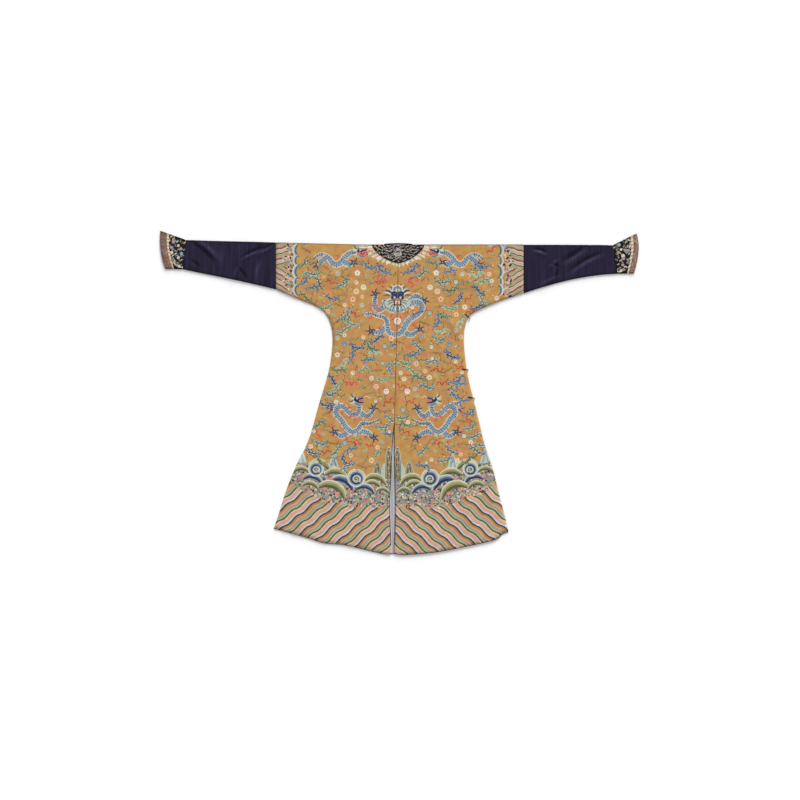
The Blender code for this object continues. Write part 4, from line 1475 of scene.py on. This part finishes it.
def overlap_panel():
    """The outer front, which closes on the right side."""
    start = 0.0003
    outline = []
    for k in range(16):
        x = start + (OVERLAP_REACH - start) * k / 15
        down = NECK_DEPTH + (x / OVERLAP_REACH) ** OVERLAP_POWER * (OVERLAP_FOOT - NECK_DEPTH)
        outline.append((x, -down))
    outline += [spot for spot in side_line("right") if spot[1] < -OVERLAP_FOOT - 0.004]
    outline += hem_line("right", start)[::-1][1:]

    def height(x, y):
        return FLOOR_GAP + relief(FRONT_CREASES, x, y)

    shell("robe_front_overlap", "front_overlap", "ochre_tapestry", outline,
          robe_figures("right", 19, fine=False), single(height, CLOTH, True), face_down=True)


def arm_piece(part, side, slot, sections, design, dips, dark=0.6, grid=GRID, painted_crease_shading=0.0):
    """A folded piece of an arm between two section lines; `dark` is how deep the painted shade along its fold
    is.
    """
    tops = sorted(sided(side, [section.top for section in sections]))

    def top(x):
        return np.interp(x, *zip(*tops))

    first = sided(side, section_line(sections[0]))
    last = sided(side, section_line(sections[-1]))
    foot = smooth_line(sided(side, [section.foot for section in sections]), 6)
    back = [(first[0][0], first[0][1] - FOLD_RADIUS)] + first[1:-1] + foot
    back += last[::-1][1:-1] + [(last[0][0], last[0][1] - FOLD_RADIUS)]
    outline = back + mirrored(back, top)[::-1]
    unfold(design, list(design.shapes), top)
    # Painted shade along the fold of each arm piece is multiplied into its colours.
    shell(f"robe_{part}_{side}", f"{part}_{side}", slot, outline, design,
          folded(top, back_surface(((foot, EDGE_ROLL),), dips)), grid=grid,
          fold=fold_rows(outline, top, 5), shade=painted_fold_and_crease_shade(top, 8.0 * MM, dark, painted_crease_shading))


def across_piece(sections, part, t):
    """A place on a piece of an arm, `part` of the way along it and `t` of the way down its lines."""
    first, last = (section_line(section, 20)[int(t * 20)] for section in sections)
    return tuple(a + part * (b - a) for a, b in zip(first, last))


def cuff_figures(side, sections):
    """Flowers, curls and foam on the dark cuff, with a pale band beside its edging."""
    rng = random.Random(31)
    design = Design("soot")
    for _ in range(130):
        x, y = across_piece(sections, rng.uniform(0.03, 0.9), rng.uniform(0.02, 0.98))
        y += rng.uniform(-0.003, 0.003)
        if not design.free(x, y, 0.0045):
            continue
        pen = Pen(design, SIGN[side] * x, y, rng.uniform(0.45, 0.7), rng.uniform(0, 360), rng.choice((1, -1)))
        kind = rng.random()
        if kind < 0.6:
            pen.line(((-12, -4), (-4, 5), (4, -4), (12, 4)), (1.2, 3.6, 1.2),
                     rng.choice(("grey", "oat", "sky", "grey", "cream")))
        elif kind < 0.85:
            sprig(pen, rng.choice(("green", "sage", "blue")), rng.choice(("mauve", "tan", "cream")))
        else:
            blossom(pen, rng.choice(("cream", "sky", "mauve")), rng.choice(("gold", "mauve")))
        design.take(x, y, 0.0045)
    near, far = CUFF_BAND
    for k in range(20):
        low, high = k / 20, (k + 1) / 20
        corners = [across_piece(sections, part, t)
                   for part, t in ((near, low), (near, high), (far, high), (far, low))]
        design.add(sided(side, corners), ("cream", "tan")[k % 2])
    return design


def edging_figures(side, sections):
    """Small leaves on the brown edging, paler at the right arm, which has seen less wear."""
    rng = random.Random(5)
    design = Design("brown")
    dyes = ("mauve", "brown", "tan") if side == "right" else ("mauve", "brown", "rim")
    for _ in range(90):
        x, y = across_piece(sections, rng.uniform(0.1, 0.9), rng.uniform(0.02, 0.98))
        sprig(Pen(design, SIGN[side] * x, y, 0.42, rng.uniform(0, 360)), rng.choice(dyes), rng.choice(dyes))
    return design


def sleeve_pieces(side):
    """The plain sleeve, the horseshoe cuff and its edging."""
    seam, edging, mouth = CUFF_LINES[side]
    near = Section(*((x + EDGING_GAP, y) for x, y in edging))
    cuff_seam = sided(side, section_line(seam))
    edging_seam = sided(side, section_line(edging))
    # The plain sleeve gets the deepest painted shade along its fold, and painted shade in its crease troughs
    # with painted highlight on the ridges.
    arm_piece("sleeve", side, "navy_silk", SLEEVE_LINES[side], Design("navy_silk"),
              (arm_seam(side), cuff_seam), dark=0.8, grid=SILK_GRID, painted_crease_shading=0.32)
    arm_piece("cuff", side, "dark_tapestry", (seam, edging), cuff_figures(side, (seam, edging)),
              (cuff_seam, edging_seam))
    arm_piece("cuff_edging", side, "brown_edging", (near, mouth), edging_figures(side, (near, mouth)),
              (edging_seam,))


def collar_piece():
    """The dark half-moon with a small dragon and clouds."""
    edge = [collar_edge(COLLAR_TIP * math.sin(math.pi * (k / 30 - 0.5))) for k in range(31)]
    outline = [(edge[-1][0], COLLAR_TOP), (edge[0][0], COLLAR_TOP)] + edge
    rng = random.Random(3)
    design = Design("soot")
    half_width, depth = COLLAR_FIELD
    for _ in range(700):
        x = rng.uniform(-0.11, 0.11)
        y = rng.uniform(-0.078, -0.004)
        past_edge = (abs(x) / half_width) ** COLLAR_POWER + (abs(y) / depth) ** COLLAR_POWER > 1.0
        if past_edge or not design.free(x, y, 0.0028):
            continue
        pen = Pen(design, x, y, rng.uniform(0.38, 0.58), rng.uniform(-40, 40), rng.choice((1, -1)))
        mid, light = rng.choice((("mauve", "cream"), ("grey", "cream"), ("tan", "pearl"), ("grey", "sage")))
        pen.line(((-14, -4), (-5, 4), (5, -4), (14, 4)), (1.0, 3.6, 1.0), mid)
        pen.disc(0, 2, 3.4, light, count=6)
        design.take(x, y, 0.0052)
    face_front(Pen(design, -0.001, -0.034, 0.3))
    below = back_surface(())

    def height(x, y):
        return below(x, y) + 1.0 * MM

    shell("robe_collar", "collar_back", "dark_tapestry", outline, design, single(height, THIN_CLOTH),
          grid=0.006)


def band_along(name, node, path, half_width, thickness, closed=False):
    """A narrow rounded binding along a path of 3-D points."""
    around = 8
    count = len(path)
    vertices = []
    for k, (x, y, z) in enumerate(path):
        before = path[k - 1] if closed or k else path[0]
        after = path[(k + 1) % count] if closed or k < count - 1 else path[-1]
        run = np.array(after[:2]) - np.array(before[:2])
        out = np.array((run[1], -run[0])) / (np.hypot(*run) or 1.0)
        for j in range(around):
            turn = 2 * math.pi * j / around
            side = half_width * math.cos(turn)
            vertices.append((x + out[0] * side, y + out[1] * side, z + thickness / 2 * math.sin(turn)))
    faces = []
    for k in range(count if closed else count - 1):
        here = k * around
        there = (k + 1) % count * around
        faces += [(here + j, here + (j + 1) % around, there + (j + 1) % around, there + j)
                  for j in range(around)]
    if not closed:
        faces.append(tuple(range(around))[::-1])
        faces.append(tuple((count - 1) * around + j for j in range(around)))
    new_piece(name, node, "brown_edging", vertices, faces, [True] * len(faces))


def neck_binding():
    """The narrow edging round the neck, straight across the back and round at the front."""
    path = []
    steps = 24
    half = 0.0613
    for k in range(steps):
        share = 1.0 - 2.0 * k / steps
        drop = min(1.0, max(0.0, (abs(share) - 0.7) / 0.3))
        path.append((half * share, -0.0006 + 0.003 * (1.0 - share ** 2),
                     4.6 * MM - 3.4 * MM * drop * drop * (3 - 2 * drop)))
    for k in range(steps):
        turn = math.pi * k / steps
        path.append((-half * math.cos(turn), -0.0862 * math.sin(turn), 1.2 * MM))
    band_along("robe_neck_edging", "neck_edging", path, 3.2 * MM, 2.2 * MM, closed=True)


def vent_lining():
    """The lining of the front, seen through the open vent."""
    left, right, top = -0.075, -0.0015, -0.75
    outline = [(left, top), (left, 0.002 - hem_down(left)), (right, 0.002 - hem_down(right)), (right, top)]

    def height(x, y):
        return 2.6 * MM + relief(FRONT_CREASES, x, y) + 0.3 * MM * np.sin(x * 130.0 + y * 21.0)

    shell("robe_front_lining", "front_lining", "lining_silk", outline, Design("lining"),
          single(height, THIN_CLOTH))


def fastenings():
    """The straps of the side buttons, sewn on the back at the right edge."""
    height = body_height("right")
    for name, down, degrees in FASTENINGS:
        turn = math.radians(degrees)
        edge = float(np.interp(down, [row.down for row in SIDES], [row.right for row in SIDES]))
        path = []
        for part in np.linspace(0.0, 1.0, 7):
            back = 22.0 * MM * (1.0 - part) + 0.5 * MM
            x = edge - math.cos(turn) * back
            y = -down - math.sin(turn) * back
            path.append((x, y, float(height(np.array([x]), np.array([y]))[0]) + 0.7 * MM))
        band_along(f"robe_strap_{name}", f"button_strap_{name}", path, 2.2 * MM, 1.6 * MM)


def piping(side):
    """The narrow dark binding along the hem and the edge of the vent."""
    centre = centre_line(side)
    line = np.array(smooth_line(centre[2:], 4) + hem_line(side, centre[-1][0])[1:])
    z = body_height(side)(line[:, 0], line[:, 1]) - 0.3 * MM
    band_along(f"robe_piping_{side}", None, np.column_stack((line, z)), 1.3 * MM, 1.8 * MM)


# ---------------------------------------------------------------- floor, light and camera


def stage():
    """A pale floor, soft daylight from above and a low soft key from the neck side."""
    reach = 12.0
    mesh = bpy.data.meshes.new("floor")
    mesh.from_pydata([(-reach, -reach, 0), (reach, -reach, 0), (reach, reach, 0), (-reach, reach, 0)],
                     [], [(0, 1, 2, 3)])
    nodes = Nodes("floor")
    nodes.shader.inputs["Base Color"].default_value = (0.93, 0.93, 0.93, 1.0)
    nodes.shader.inputs["Roughness"].default_value = 0.9
    mesh.materials.append(nodes.material)
    add_to_scene("floor", mesh)

    world = bpy.data.worlds.new("daylight")
    bpy.context.scene.world = world
    world.use_nodes = True
    sky = world.node_tree.nodes["Background"].inputs
    sky["Color"].default_value = (1.0, 1.0, 1.0, 1.0)
    sky["Strength"].default_value = 0.56

    sun = bpy.data.lights.new("key", "SUN")
    sun.energy = 6.4
    sun.angle = math.radians(22.0)
    elevation = math.radians(15.0)
    add_to_scene("key", sun).rotation_euler = (elevation - math.pi / 2, 0.0, math.radians(-12.0))


def camera():
    """Straight above, far off with a long lens, with the neck towards the top of the picture."""
    lens = bpy.data.cameras.new("camera")
    lens.lens = 100.0
    lens.sensor_width = 36.0
    lens.clip_end = 100.0
    item = add_to_scene("camera", lens)
    width = 3.512
    item.location = (0.0079 + ORIGIN[0], -0.6826 + ORIGIN[1], width * lens.lens / lens.sensor_width)
    bpy.context.scene.camera = item
    bpy.context.scene.view_settings.view_transform = "Standard"


def main():
    """Builds the robe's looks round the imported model."""
    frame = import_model()
    ORIGIN[:2] = (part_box("body_left")[0].x + 0.5461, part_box("collar_back")[1].y - COLLAR_TOP)
    FINISHES["ochre_tapestry"] = FINISHES["dark_tapestry"] = tapestry("tapestry")
    FINISHES["navy_silk"] = plain_silk("navy_silk", 700.0, 0.02, 0.42)
    FINISHES["brown_edging"] = tapestry("edging", 0.16)
    FINISHES["lining_silk"] = plain_silk("lining_silk", 900.0, 0.05, 0.5)
    for side in SIGN:
        body_panel(side)
        sleeve_pieces(side)
    overlap_panel()
    collar_piece()
    neck_binding()
    vent_lining()
    fastenings()
    for side in SIGN:
        piping(side)
    metal = bronze("bronze")
    for name in ("button_1", "button_2", "button_3"):
        frame["nodes"][name].material_slots[0].material = metal
    stage()
    camera()


main()
